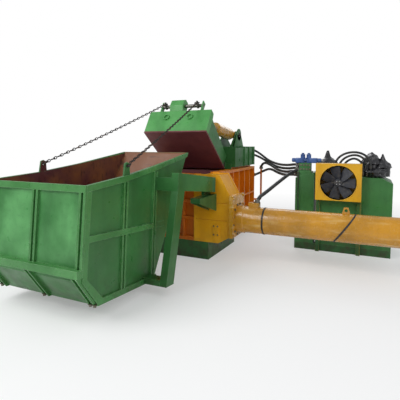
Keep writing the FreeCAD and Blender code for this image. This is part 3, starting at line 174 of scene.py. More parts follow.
@dataclass(frozen=True)
class Enamel:
    """Brushed and sprayed machine paint over plate: patches, runs, pale edges that are partly rubbed paint and
    partly painted highlight, and a darkening towards the floor.
    """

    name: str
    base: Colour
    light: Colour
    dark: Colour
    # Pale edge colour: partly rubbed paint, partly painted highlight along the corners.
    edge_wear_and_highlight: Colour
    gloss: float = 0.34
    patches: float = 1.6
    runs: float = 0.35
    # How much darker the paint gets towards the floor.
    low_darkening: float = 0.45
    lining: Colour | None = None
    lining_side: Point = (0, 0, 1)
    edge_radius: float = 0.007
    patch: Colour | None = None
    patch_way: Point = (0, 0, -1)
    patch_from: float = 0.0

    def make(self) -> bpy.types.Material:
        """Build the material.

        Returns:
            The finished material.
        """
        shade = Shade(self.name)
        # Broad patches of base and light tone; on the rear plate the light patches are painted glare.
        patches = shade.span(shade.cloud(self.patches, 4), 0.36, 0.66)
        paint = colour_mix(shade, patches, linear(self.base), linear(self.light))
        if self.patch:
            paint = colour_mix(shade, self.patch_share(shade), paint, linear(self.patch))
        runs = shade.span(shade.cloud(5.0, 3, (1, 1, 0.12)), 0.48, 0.75, 0, self.runs)
        paint = colour_mix(shade, runs, paint, linear(self.dark))
        mottle = shade.span(shade.cloud(26.0, 5), 0.55, 0.8, 0, 0.3)
        paint = colour_mix(shade, mottle, paint, linear(self.dark))
        if self.lining:
            paint = colour_mix(shade, self.lining_share(shade), paint, self.rust(shade))
        # Pale corners: partly rubbed paint, partly painted highlight.
        edge_wear_and_highlight = shade.times(self.edges(shade), shade.span(shade.cloud(14.0, 4), 0.35, 0.6, 0.25, 0.9))
        paint = colour_mix(shade, edge_wear_and_highlight, paint, linear(self.edge_wear_and_highlight))
        # Brownish darkening towards the floor, in noisy patches.
        paint = colour_mix(shade, self.low_darkening_mask(shade), paint, linear((62, 52, 38)))
        shade.feed("Base Color", paint)
        shade.feed("Roughness", shade.span(shade.cloud(7.0, 5), 0.3, 0.7, self.gloss - 0.08, self.gloss + 0.16))
        self.relief(shade)
        shade.surface.inputs["Specular IOR Level"].default_value = 0.4
        shade.surface.inputs["Coat Weight"].default_value = 0.08
        shade.surface.inputs["Coat Roughness"].default_value = 0.2
        return shade.material

    def rust(self, shade: Shade) -> bpy.types.NodeSocket:
        """The worn, rusty colour of a plate's inner side."""
        brown = shade.span(shade.cloud(3.0, 6), 0.38, 0.64)
        inner = colour_mix(shade, brown, linear(self.lining), linear((126, 78, 46)))
        scrapes = shade.span(shade.cloud(11.0, 6, (0.4, 2.4, 1)), 0.56, 0.72, 0, 0.75)
        return colour_mix(shade, scrapes, inner, linear((52, 30, 30)))

    def patch_share(self, shade: Shade) -> bpy.types.NodeSocket:
        """1 where the piece lies beyond its patch plane, and 0 elsewhere."""
        reach = shade.add("VectorMath", {0: shade.coordinates.outputs["Object"], 1: self.patch_way},
                          operation="DOT_PRODUCT")
        return shade.span(reach.outputs["Value"], self.patch_from, self.patch_from + 0.001)

    def lining_share(self, shade: Shade) -> bpy.types.NodeSocket:
        """How far a face looks towards the lined side, as 0 or 1."""
        facing = shade.add("VectorMath", {0: shade.coordinates.outputs["Normal"], 1: self.lining_side},
                           operation="DOT_PRODUCT")
        return shade.span(facing.outputs["Value"], 0.45, 0.5)

    def edges(self, shade: Shade) -> bpy.types.NodeSocket:
        """Where the surface turns a corner, from 0 to 1."""
        rounded = shade.add("Bevel", {"Radius": self.edge_radius}, samples=4)
        flat = shade.add("NewGeometry")
        turn = shade.add("VectorMath", {0: rounded.outputs[0], 1: flat.outputs["Normal"]},
                         operation="DOT_PRODUCT")
        return shade.span(turn.outputs["Value"], 0.985, 0.86)

    def low_darkening_mask(self, shade: Shade) -> bpy.types.NodeSocket:
        """A noisy brownish darkening that grows towards the floor."""
        height = shade.add("SeparateXYZ", {0: shade.coordinates.outputs["Object"]})
        low = shade.span(height.outputs[2], 0.55, 0.0, 0, self.low_darkening)
        return shade.times(low, shade.span(shade.cloud(9.0, 6), 0.4, 0.65))

    def relief(self, shade: Shade) -> None:
        """Orange peel and the slow waviness of welded plate."""
        rounded = shade.add("Bevel", {"Radius": self.edge_radius * 0.6}, samples=4)
        waves = shade.add("Bump", {"Height": shade.cloud(4.5, 2), "Strength": 0.35, "Distance": 0.012,
                                   "Normal": rounded.outputs[0]})
        peel = shade.add("Bump", {"Height": shade.cloud(160.0, 3), "Strength": 0.12, "Distance": 0.001,
                                  "Normal": waves.outputs[0]})
        shade.feed("Normal", peel.outputs[0])


@dataclass(frozen=True)
class Film:
    """Stretch film over paint or a motor: pale streaks along its creases, painted as highlight."""

    name: str
    base: Colour
    # Pale colour of the creases: painted highlight.
    crease_highlight: Colour
    amount: float = 0.55
    lean: Point = (0.3, 2.4, 1.8)

    def make(self) -> bpy.types.Material:
        """Build the material."""
        shade = Shade(self.name)
        tint = shade.span(shade.cloud(2.2, 4), 0.35, 0.65)
        darker = tuple(channel * 0.82 for channel in self.base)
        paint = colour_mix(shade, tint, linear(self.base), linear(darker))
        creases = shade.cloud(7.0, 8, self.lean)
        # Pale streaks along the creases and the fine wrinkles are painted highlight.
        ridge_highlight = shade.span(creases, 0.56, 0.7, 0, self.amount)
        fine = shade.span(shade.cloud(38.0, 6, (1.6, 0.5, 0.5)), 0.6, 0.74, 0, self.amount * 0.7)
        paint = colour_mix(shade, ridge_highlight, paint, linear(self.crease_highlight))
        paint = colour_mix(shade, fine, paint, linear(self.crease_highlight))
        shade.feed("Base Color", paint)
        shade.feed("Roughness", shade.span(shade.cloud(12.0, 4), 0.35, 0.65, 0.12, 0.36))
        crumple = shade.add("Bump", {"Height": creases, "Strength": 0.75, "Distance": 0.02})
        wrinkle = shade.add("Bump", {"Height": shade.cloud(60.0, 4, self.lean), "Strength": 0.4,
                                     "Distance": 0.003, "Normal": crumple.outputs[0]})
        shade.feed("Normal", wrinkle.outputs[0])
        shade.surface.inputs["Coat Weight"].default_value = 0.45
        shade.surface.inputs["Coat Roughness"].default_value = 0.12
        return shade.material


@dataclass(frozen=True)
class Steel:
    """Bare or oily metal with fine scratches."""

    name: str
    base: Colour
    stain: Colour
    metallic: float = 0.9
    rough: float = 0.38

    def make(self) -> bpy.types.Material:
        """Build the material."""
        shade = Shade(self.name)
        stain = shade.span(shade.cloud(12.0, 6), 0.45, 0.68, 0, 0.8)
        shade.feed("Base Color", colour_mix(shade, stain, linear(self.base), linear(self.stain)))
        shade.feed("Roughness", shade.span(shade.cloud(30.0, 4), 0.3, 0.7, self.rough - 0.1, self.rough + 0.2))
        grain = shade.add("Bump", {"Height": shade.cloud(220.0, 3, (1, 0.2, 1)), "Strength": 0.15,
                                   "Distance": 0.0006})
        shade.feed("Normal", grain.outputs[0])
        shade.surface.inputs["Metallic"].default_value = self.metallic
        return shade.material


@dataclass(frozen=True)
class Rubber:
    """Hose rubber with dust in its wrapped surface."""

    name: str
    base: Colour

    def make(self) -> bpy.types.Material:
        """Build the material."""
        shade = Shade(self.name)
        dust = shade.span(shade.cloud(18.0, 5), 0.48, 0.7, 0, 0.45)
        shade.feed("Base Color", colour_mix(shade, dust, linear(self.base), linear((96, 92, 84))))
        shade.feed("Roughness", shade.span(shade.cloud(24.0, 3), 0.3, 0.7, 0.42, 0.66))
        cloth = shade.add("Bump", {"Height": shade.cloud(320.0, 2), "Strength": 0.3, "Distance": 0.0008})
        shade.feed("Normal", cloth.outputs[0])
        return shade.material


@dataclass(frozen=True)
class PaleGround:
    """The plain floor: its own shadow near the object, fading to plain white far from it."""

    name: str = "pale_ground"
    near: float = 4.0
    far: float = 8.0

    def make(self) -> bpy.types.Material:
        """Build the material."""
        shade = Shade(self.name)
        shade.surface.inputs["Base Color"].default_value = (0.94, 0.94, 0.94, 1)
        shade.surface.inputs["Roughness"].default_value = 0.9
        shade.surface.inputs["Specular IOR Level"].default_value = 0.0
        white = shade.add("Emission", {"Strength": 1.0})
        distance = shade.add("VectorMath", {0: shade.coordinates.outputs["Object"]}, operation="LENGTH")
        share = shade.span(distance.outputs["Value"], self.near, self.far, 0.3, 1.0)
        path = shade.add("LightPath")
        seen = shade.times(share, path.outputs["Is Camera Ray"])
        both = shade.add("MixShader", {0: seen, 1: shade.surface.outputs[0], 2: white.outputs[0]})
        out = next(n for n in shade.tree.nodes if n.type == "OUTPUT_MATERIAL")
        shade.tree.links.new(both.outputs[0], out.inputs["Surface"])
        return shade.material


# In each set the edge colour is partly rubbed paint and partly painted highlight.
GREEN = dict(base=(48, 104, 50), light=(64, 126, 66), dark=(30, 74, 34), edge_wear_and_highlight=(104, 158, 104))
# A brighter green whose light patches are painted glare.
GLARE_GREEN = dict(base=(52, 118, 56), light=(92, 160, 94), dark=(38, 92, 42), edge_wear_and_highlight=(134, 184, 132))
YELLOW = dict(base=(220, 152, 16), light=(236, 172, 26), dark=(188, 108, 8), edge_wear_and_highlight=(246, 196, 72))
MAROON = (92, 48, 48)

FINISHES = {
    "green": Enamel("green_enamel", **GREEN),
    "glare_green": Enamel("glare_green_enamel", **GLARE_GREEN, runs=0.5, patches=2.3),
    "rail": Enamel("green_rail_enamel", base=(56, 118, 56), light=(84, 146, 82), dark=(38, 86, 40),
                   edge_wear_and_highlight=(140, 184, 136), gloss=0.28),
    "lid_green": Enamel("lid_green_enamel", base=(70, 146, 72), light=(88, 164, 88), dark=(52, 116, 56),
                        edge_wear_and_highlight=(140, 196, 138)),
    "base_green": Enamel("base_green_enamel", base=(44, 92, 48), light=(58, 108, 58), dark=(30, 64, 34),
                         edge_wear_and_highlight=(104, 140, 100), low_darkening=0.8),
    "near_side": Enamel("near_side_enamel", **GREEN, lining=MAROON, lining_side=(-1, 0, 0), runs=0.5),
    "far_side": Enamel("far_side_enamel", **GREEN, lining=MAROON, lining_side=(0.98, 0.13, 0)),
    # The rear plate takes the brighter green, with painted glare in its light patches.
    "rear_plate": Enamel("rear_plate_enamel", **GLARE_GREEN, lining=MAROON, lining_side=(0, 1, 0), runs=0.5,
                         patches=2.3),
    "keel": Enamel("keel_enamel", **GREEN, lining=MAROON, lining_side=(0, 0.25, 0.97), low_darkening=0.7),
    "chute": Enamel("chute_enamel", **GREEN, lining=(124, 76, 44), lining_side=(0, -0.6, 0.8)),
    "maroon": Enamel("press_plate_primer", base=(100, 48, 54), light=(116, 62, 62), dark=(74, 34, 42),
                     edge_wear_and_highlight=(132, 92, 88), gloss=0.5, low_darkening=0.2),
    "yellow": Enamel("yellow_enamel", **YELLOW),
    "orange": Enamel("orange_yellow_enamel", base=(222, 126, 12), light=(236, 144, 18), dark=(188, 84, 8),
                     edge_wear_and_highlight=(246, 178, 60), runs=0.7),
    "recess": Enamel("shaded_recess_enamel", base=(196, 92, 14), light=(214, 114, 16), dark=(150, 58, 10),
                     edge_wear_and_highlight=(236, 160, 52), runs=0.7),
    "cooler": Enamel("cooler_yellow_enamel", base=(220, 164, 26), light=(234, 182, 38), dark=(186, 128, 18),
                     edge_wear_and_highlight=(246, 208, 96), patches=2.0, patch=(44, 96, 48), patch_from=-0.899),
    "side_frame": Enamel("side_frame_enamel", **GREEN, patch=(22, 112, 84), patch_way=(0, 1, 0),
                         patch_from=-0.765),
    "blue": Enamel("valve_blue_enamel", base=(46, 78, 138), light=(76, 108, 170), dark=(26, 46, 92),
                   edge_wear_and_highlight=(140, 164, 208), patches=9.0),
    "tube_film": Film("tube_film", base=(206, 144, 20), crease_highlight=(236, 206, 138), amount=0.5),
    "panel_film": Film("panel_film", base=(212, 152, 26), crease_highlight=(240, 214, 156), amount=0.5,
                       lean=(1.2, 1.2, 1.6)),
    "barrel_film": Film("barrel_film", base=(224, 158, 26), crease_highlight=(226, 214, 186), amount=0.7),
    "black_film": Film("black_film", base=(30, 30, 34), crease_highlight=(128, 128, 134), amount=0.3,
                       lean=(2.0, 2.0, 1.0)),
    "rod": Steel("chromed_rod", base=(206, 208, 210), stain=(150, 148, 140), rough=0.2),
    "chain": Steel("chain_steel", base=(58, 56, 56), stain=(96, 70, 52), metallic=0.7, rough=0.5),
    "pin": Steel("pin_steel", base=(118, 116, 110), stain=(74, 62, 50)),
    "bolt": Steel("bolt_steel", base=(128, 124, 112), stain=(90, 74, 48), rough=0.42),
    "strap": Rubber("strap_band", base=(30, 30, 32)),
    "blade": Rubber("fan_blade_black", base=(44, 46, 54)),
    "hose": Rubber("hose_rubber", base=(42, 44, 46)),
    "fins": Steel("cooler_fins", base=(22, 22, 26), stain=(10, 10, 12), metallic=0.2, rough=0.7),
    "weld": Enamel("green_weld_bead", base=(66, 130, 66), light=(98, 158, 94), dark=(44, 92, 46),
                   edge_wear_and_highlight=(150, 190, 146), edge_radius=0.002),
    "yellow_weld": Enamel("yellow_weld_bead", **YELLOW, edge_radius=0.002),
}

NODE_FINISHES = {
    "yellow": ("channel_plates", "inspection_cover", "channel_housing"),
    "orange": ("rear_wall", "right_wall", "left_wall"),
    "recess": ("front_wall",),
    "panel_film": ("channel_flange",),
    "tube_film": ("main_cylinder", "cylinder_end_cap", "cylinder_fittings"),
    "maroon": ("chamber_floor", "ram_faces", "lid_face"),
    "strap": ("cylinder_straps",),
    "green": ("upper_box", "box_collars", "box_end_plate", "hinge_bracket", "cylinder_stands",
              "oil_tanks", "lid_casing", "hopper_far_frame", "valve_block"),
    "side_frame": ("c_frame_near", "c_frame_far"),
    "base_green": ("base_skid", "rear_sleeper", "unit_rails", "pivot_brackets"),
    "lid_green": ("lid_nose", "lid_lugs", "chain_head"),
    "pin": ("hinge_pin", "chain_shaft"),
    "barrel_film": ("lid_barrel_right", "lid_barrel_left"),
    "rod": ("lid_rod_right", "lid_rod_left"),
    "near_side": ("hopper_near_side",),
    "far_side": ("hopper_far_side",),
    "rear_plate": ("hopper_rear_wall",),
    "keel": ("hopper_floor",),
    "chute": ("hopper_chute",),
    "rail": ("hopper_near_frame", "hopper_rear_frame"),
    "chain": ("near_chain_lower", "near_chain_upper", "far_chain_lower", "far_chain_upper"),
    "cooler": ("cooler_housing",),
    "blade": ("cooler_fan",),
    "blue": ("valves",),
    "black_film": ("pump_motor", "wrapped_motors"),
}


class PaintShop:
    """Makes each finish once and puts it on pieces."""

    def __init__(self) -> None:
        """Start with no finish made."""
        self.made: dict[str, bpy.types.Material] = {}

    def coat(self, piece: bpy.types.Object, finish: str) -> None:
        """Give a piece one finish all over.

        Args:
            piece: The mesh or curve to coat.
            finish: A name from FINISHES.
        """
        if finish not in self.made:
            self.made[finish] = FINISHES[finish].make()
        piece.data.materials.clear()
        piece.data.materials.append(self.made[finish])

    def coat_nodes(self) -> None:
        """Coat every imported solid, each with the finish that its name is listed under."""
        for finish, nodes in NODE_FINISHES.items():
            for name in nodes:
                self.coat(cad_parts[name], finish)
                LOG.info("%s has the finish %s", name, finish)


# ---- bench work


def clear_choice() -> None:
    """Leave object mode with nothing selected."""
    if bpy.context.object and bpy.context.object.mode != "OBJECT":
        bpy.ops.object.mode_set(mode="OBJECT")
    bpy.ops.object.select_all(action="DESELECT")


def rounded(piece: bpy.types.Object, width: float, segments: int = 2) -> None:
    """Round a piece's sharp edges with an applied bevel."""
    bevel = piece.modifiers.new("round", "BEVEL")
    bevel.width = width
    bevel.segments = segments
    bevel.limit_method = "ANGLE"
    bpy.context.view_layer.objects.active = piece
    bpy.ops.object.modifier_apply(modifier=bevel.name)


def turned_to(axis: Axis) -> Matrix:
    """The turn that points a piece's own Z along an axis."""
    return Vector(axis.value).to_track_quat("Z", "Y").to_matrix().to_4x4()


def copied_to(pattern: bpy.types.Object, name: str, places: Iterable[Matrix]) -> bpy.types.Object:
    """Copy a pattern piece to many places and join the copies.

    Args:
        pattern: The modelled piece, at the origin. It is removed afterwards.
        name: The joined piece's name.
        places: One matrix for each copy.

    Returns:
        The joined piece, at the origin.
    """
    clear_choice()
    copies = []
    for place in places:
        copy = pattern.copy()
        copy.data = pattern.data.copy()
        copy.data.transform(place)
        bpy.context.scene.collection.objects.link(copy)
        copy.select_set(True)
        copies.append(copy)
    bpy.context.view_layer.objects.active = copies[0]
    bpy.ops.object.join()
    joined = bpy.context.object
    joined.name = name
    bpy.data.objects.remove(pattern)
    return joined


def joined(first: bpy.types.Object, second: bpy.types.Object) -> bpy.types.Object:
    """Join a second piece to the first, which keeps its name."""
    first.select_set(True)
    second.select_set(True)
    bpy.context.view_layer.objects.active = first
    bpy.ops.object.join()
    return bpy.context.object


def fitted(size: Point, shift: Point | None = None) -> None:
    """Scale the new piece's mesh about the origin, then shift it."""
    bpy.ops.object.mode_set(mode="EDIT")
    bpy.ops.mesh.select_all(action="SELECT")
    bpy.ops.transform.resize(value=size)
    if shift:
        bpy.ops.transform.translate(value=shift)
    bpy.ops.object.mode_set(mode="OBJECT")


def choose(piece: bpy.types.Object, test: Callable[[Vector], bool]) -> None:
    """Go to edit mode with just the vertices chosen whose place passes a test."""
    bpy.ops.object.mode_set(mode="EDIT")
    bpy.ops.mesh.select_all(action="DESELECT")
    bpy.ops.object.mode_set(mode="OBJECT")
    for vertex in piece.data.vertices:
        vertex.select = test(vertex.co)
    bpy.ops.object.mode_set(mode="EDIT")


def walled(piece: bpy.types.Object, thickness: float) -> None:
    """Give a sheet its thickness with an applied Solidify modifier."""
    wall = piece.modifiers.new("wall", "SOLIDIFY")
    wall.thickness = thickness
    bpy.context.view_layer.objects.active = piece
    bpy.ops.object.modifier_apply(modifier=wall.name)


def tube_along(points: tuple[Point, ...], radius: float, steps: int) -> bpy.types.Object:
    """Lay a round tube along one smooth open spline.

    Args:
        points: The spline's control points.
        radius: The tube's radius.
        steps: Segments between two control points.

    Returns:
        The curve.
    """
    clear_choice()
    bpy.ops.curve.primitive_nurbs_path_add(location=(0, 0, 0))
    tube = bpy.context.object
    tube.data.splines.clear()
    spline = tube.data.splines.new("NURBS")
    spline.points.add(len(points) - 1)
    for point, place in zip(spline.points, points):
        point.co = (*place, 1)
    spline.order_u = 3
    spline.use_endpoint_u = True
    spline.resolution_u = steps
    tube.data.dimensions = "3D"
    tube.data.bevel_depth = radius
    tube.data.use_fill_caps = True
    return tube


def hex_bolt(radius: float, height: float) -> bpy.types.Object:
    """A hexagon head on its washer, standing on the origin and pointing up Z."""
    clear_choice()
    bpy.ops.mesh.primitive_cylinder_add(vertices=6, radius=radius, depth=height,
                                        location=(0, 0, height * 0.7))
    head = bpy.context.object
    bpy.ops.object.transform_apply()
    rounded(head, radius * 0.14)
    bpy.ops.mesh.primitive_cylinder_add(vertices=20, radius=radius * 1.55, depth=height * 0.2,
                                        location=(0, 0, height * 0.1))
    washer = bpy.context.object
    bpy.ops.object.transform_apply()
    rounded(washer, height * 0.05, 1)
    return joined(head, washer)


def bead(width: float) -> bpy.types.Object:
    """One ripple of a weld, a low dome that is longer across the seam."""
    clear_choice()
    bpy.ops.mesh.primitive_uv_sphere_add(segments=8, ring_count=5, radius=width)
    ripple = bpy.context.object
    fitted((0.6, 1.0, 0.45))
    return ripple


def seam(start: Point, end: Point, pitch: float, out: Point, draw: random.Random) -> list[Matrix]:
    """Where the ripples of a weld seam sit.

    Args:
        start: One end of the seam.
        end: The other end.
        pitch: The distance between ripples.
        out: The direction the weld stands out in.
        draw: The seeded source of small differences.

    Returns:
        A matrix for each ripple.
    """
    first, last = Vector(start), Vector(end)
    along = (last - first).normalized()
    up = Vector(out).normalized()
    side = up.cross(along)
    turn = Matrix((along, side, up)).transposed().to_4x4()
    count = max(2, int((last - first).length / pitch))
    return [Matrix.Translation(first.lerp(last, step / count)) @ turn @ Matrix.Scale(draw.uniform(0.8, 1.15), 4)
            for step in range(count + 1)]


def level_point(y: float, z: float) -> tuple[float, float]:
    """A point of the level hopper, turned down with it to its rest tilt about the pivot."""
    across, up = y - HOPPER_PIVOT[0], z - HOPPER_PIVOT[1]
    return (HOPPER_PIVOT[0] + across * math.cos(REST_TILT) + up * math.sin(REST_TILT),
            HOPPER_PIVOT[1] - across * math.sin(REST_TILT) + up * math.cos(REST_TILT))


class Finisher:
    """Hands a modelled piece over: its body and its finish."""

    def __init__(self, shop: PaintShop) -> None:
        """Keep the paint shop that coats each piece."""
        self.shop = shop

    def hand_over(self, piece: bpy.types.Object, name: str, body: str, finish: str, slot: str) -> bpy.types.Object:
        """Name, coat and attach a piece.

        Args:
            piece: The finished mesh or curve, at the origin.
            name: Its name.
            body: The moving body that carries it.
            finish: A name from FINISHES.
            slot: Not used.

        Returns:
            The piece.
        """
        piece.name = name
        self.shop.coat(piece, finish)
        if piece.type == "MESH":
            clear_choice()
            piece.select_set(True)
            bpy.context.view_layer.objects.active = piece
            bpy.ops.object.shade_smooth_by_angle(angle=math.radians(35))
        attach(piece, body)
        LOG.info("%s rides on %s", name, body)
        return piece


# ---- sub-assemblies


@dataclass
class HopperDress:
    """Weld seams of the hopper's posts, rails and ledge, and the round feet under its gussets."""

    finisher: Finisher
    bead_width: float = 0.007
    pitch: float = 0.0085
    posts: tuple[float, ...] = (-0.79, -0.734, -0.125, -0.069, 0.505, 0.561)
    bar: float = 0.026
    wall_top: tuple[float, float] = (-3.097, 1.225)
    wall_foot: float = 0.29
    wall_lean: float = 0.028
    side_face: float = 0.5605
    stand: float = 0.001
    draw: random.Random = field(default_factory=lambda: random.Random(7))

    def rear_point(self, x: float, height: float) -> Point:
        """A point a little off the leaning rear wall's outer face, at rest."""
        deep, top = self.wall_top
        line = deep - (top - height) / (top - self.wall_foot) * self.wall_lean
        y, z = level_point(line - self.stand, height)
        return x, y, z

    def rear_seam(self, start: tuple[float, float], end: tuple[float, float]) -> list[Matrix]:
        """A seam on the rear wall between two points, each as X and height."""
        return seam(self.rear_point(*start), self.rear_point(*end), self.pitch, (0.0, -1.0, 0.05), self.draw)

    def side_seam(self, start: tuple[float, float], end: tuple[float, float]) -> list[Matrix]:
        """A seam on the near side between two points of the level hopper."""
        return seam((self.side_face, *level_point(*start)), (self.side_face, *level_point(*end)), self.pitch,
                    (1, 0, 0), self.draw)

    def weld_rear(self) -> None:
        """Stitch the posts and rails of the rear wall to it."""
        places: list[Matrix] = []
        upright, level = 0.13, 0.16
        for post in self.posts[:5]:
            for x in (post, post + self.bar):
                for low in (0.43, 0.66, 0.9):
                    places += self.rear_seam((x, low), (x, low + upright))
        for height in (0.418, 1.155):
            for left in (-0.7, -0.4, -0.03, 0.25):
                places += self.rear_seam((left, height), (left + level, height))
        welds = copied_to(bead(self.bead_width), "rear_wall_welds", places)
        self.finisher.hand_over(welds, "rear_wall_welds", HOPPER, "weld", "hopper_rear_frame")

    def weld_side(self) -> None:
        """Stitch the near side's posts and belt to it."""
        places: list[Matrix] = []
        upright, level = 0.14, 0.16
        for post in (-2.515, -1.9):
            for step in (0.0, 0.026, 0.056, 0.082):
                for low in (0.12, 0.36, 0.74, 0.98):
                    places += self.side_seam((post + step, low), (post + step, low + upright))
        for left in (-3.0, -2.75, -2.35, -2.1, -1.75):
            for height in (0.665, 0.73):
                places += self.side_seam((left, height), (left + level, height))
        welds = copied_to(bead(self.bead_width), "near_side_welds", places)
        self.finisher.hand_over(welds, "near_side_welds", HOPPER, "weld", "hopper_near_frame")

    def feet(self) -> None:
        """The bolt ends that stand out under the ledge's gussets."""
        spots = []
        for x in (-0.78, -0.115, 0.52, 0.575):
            y, z = level_point(-2.93, 0.03)
            spots.append(Matrix.Translation((x, y, z)) @ Matrix.Rotation(math.pi, 4, "X"))
        bolts = copied_to(hex_bolt(0.017, 0.026), "hopper_foot_bolts", spots)
        self.finisher.hand_over(bolts, "hopper_foot_bolts", HOPPER, "bolt", "hopper_rear_frame")

    def build(self) -> None:
        """Dress the hopper."""
        self.weld_rear()
        self.weld_side()
        self.feet()


@dataclass
class PressDress:
    """Bolts and weld beads of the fixed press."""

    finisher: Finisher
    collar_face: float = 1.1755
    collar_circle: float = 0.2365
    cap_face: float = 3.519
    cap_circle: float = 0.19
    rib_face: float = 0.666
    rib_pitch: float = 0.33
    draw: random.Random = field(default_factory=lambda: random.Random(11))

    def round_bolts(self, name: str, slot: str, face: float, circle: float, angles: list[float],
                    size: tuple[float, float]) -> None:
        """Set a ring of bolts round the main cylinder's axis.

        Args:
            name: The joined bolts' name.
            slot: The node that they hold.
            face: Where their washers sit, along X.
            circle: The radius of the bolt circle.
            angles: Each bolt's angle in degrees.
            size: A bolt's radius and height.
        """
        spots = []
        for angle in map(math.radians, angles):
            place = Vector((face, TUBE_AXIS[0] + circle * math.cos(angle), TUBE_AXIS[1] + circle * math.sin(angle)))
            spots.append(Matrix.Translation(place) @ turned_to(Axis.X))
        self.finisher.hand_over(copied_to(hex_bolt(*size), name, spots), name, PRESS, "bolt", slot)

    def cover_bolts(self) -> None:
        """Four small bolts on the inspection cover."""
        low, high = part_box("inspection_cover")
        spots = []
        for x in (low.x + 0.018, high.x - 0.018):
            for z in (low.z + 0.02, high.z - 0.02):
                spots.append(Matrix.Translation((x, low.y + 0.006, z)) @ Matrix.Rotation(math.pi / 2, 4, "X"))
        bolts = copied_to(hex_bolt(0.008, 0.01), "cover_bolts", spots)
        self.finisher.hand_over(bolts, "cover_bolts", PRESS, "bolt", "inspection_cover")

    def wall_welds(self) -> None:
        """Beads along the ribs of the near side wall."""
        places: list[Matrix] = []
        first_rib, pitch, run = -0.02, 0.009, 0.12
        for rib in range(6):
            y = first_rib + rib * self.rib_pitch
            for low in (0.36, 0.6, 0.9, 1.15):
                places += seam((self.rib_face, y, low), (self.rib_face, y, low + run), pitch, (1, 0, 0), self.draw)
        welds = copied_to(bead(0.008), "wall_welds", places)
        self.finisher.hand_over(welds, "wall_welds", PRESS, "yellow_weld", "right_wall")

    def build(self) -> None:
        """Dress the press."""
        self.round_bolts("collar_bolts", "channel_flange", self.collar_face, self.collar_circle,
                         [15 + step * 30 for step in range(12)], (0.0125, 0.015))
        self.cover_bolts()
        self.round_bolts("end_cap_bolts", "cylinder_end_cap", self.cap_face, self.cap_circle,
                         [step * 22.5 for step in range(16)], (0.015, 0.018))
        self.wall_welds()


@dataclass(frozen=True)
class HoseRoute:
    """One hydraulic hose: its control points and its size."""

    name: str
    points: tuple[Point, ...]
    diameter: float
    first_way: Point
    last_way: Point


HOSES = (
    HoseRoute("box_hose_upper", ((0.70, 1.85, 1.70), (0.72, 1.95, 1.69), (0.86, 1.99, 1.60), (1.10, 1.76, 1.47),
                                 (1.40, 1.36, 1.42), (1.64, 1.02, 1.43), (1.80, 0.80, 1.46), (1.90, 0.77, 1.46)),
              0.046, (0, 1, 0), (1, 0, 0)),
    HoseRoute("box_hose_lower", ((0.70, 1.85, 1.60), (0.72, 1.94, 1.59), (0.88, 1.97, 1.52), (1.12, 1.72, 1.42),
                                 (1.42, 1.32, 1.36), (1.66, 0.98, 1.37), (1.80, 0.79, 1.40), (1.90, 0.77, 1.40)),
              0.046, (0, 1, 0), (1, 0, 0)),
    HoseRoute("pipe_hose", ((0.875, 1.965, 1.29), (0.88, 1.96, 1.37), (0.98, 1.88, 1.43), (1.16, 1.62, 1.40),
                            (1.42, 1.26, 1.31), (1.64, 0.94, 1.31), (1.76, 0.79, 1.34), (1.88, 0.76, 1.34)),
              0.05, (0, 0, 1), (1, 0, 0)),
    HoseRoute("wall_hose", ((0.74, 1.89, 1.16), (0.76, 1.97, 1.16), (0.92, 1.99, 1.24), (1.14, 1.70, 1.32),
                            (1.40, 1.30, 1.26), (1.60, 0.98, 1.25), (1.74, 0.80, 1.28), (1.88, 0.755, 1.285)),
              0.05, (0, 1, 0), (1, 0, 0)),
    HoseRoute("tube_port_hose", ((1.47, -0.37, 0.9), (1.475, -0.34, 0.99), (1.54, -0.16, 1.05),
                                 (1.66, 0.20, 1.19), (1.76, 0.50, 1.30), (1.82, 0.70, 1.35), (1.90, 0.74, 1.37)),
              0.056, (0, 0, 1), (1, 0, 0)),
    HoseRoute("return_hose_high", ((2.46, 0.86, 1.27), (2.46, 0.86, 1.42), (2.50, 0.86, 1.58), (2.66, 0.86, 1.68),
                                   (2.86, 0.88, 1.68), (3.00, 0.90, 1.58), (3.03, 0.90, 1.42), (3.03, 0.90, 1.27)),
              0.036, (0, 0, 1), (0, 0, -1)),
    HoseRoute("return_hose_middle", ((2.52, 0.90, 1.27), (2.52, 0.90, 1.40), (2.56, 0.90, 1.54), (2.70, 0.90, 1.63),
                                     (2.84, 0.92, 1.63), (2.95, 0.94, 1.54), (2.975, 0.94, 1.40),
                                     (2.975, 0.94, 1.27)),
              0.036, (0, 0, 1), (0, 0, -1)),
    HoseRoute("return_hose_low", ((2.58, 0.94, 1.27), (2.58, 0.94, 1.38), (2.62, 0.94, 1.50), (2.72, 0.94, 1.57),
                                  (2.80, 0.96, 1.57), (2.89, 0.98, 1.50), (2.91, 0.98, 1.38), (2.91, 0.98, 1.27)),
              0.036, (0, 0, 1), (0, 0, -1)),
    HoseRoute("drain_hose", ((1.90, 0.685, 1.33), (1.90, 0.65, 1.30), (1.895, 0.64, 1.15), (1.90, 0.64, 0.90),
                             (1.905, 0.642, 0.66), (1.905, 0.65, 0.5), (1.905, 0.675, 0.46)),
              0.016, (0, -1, 0), (0, 1, 0)),
)


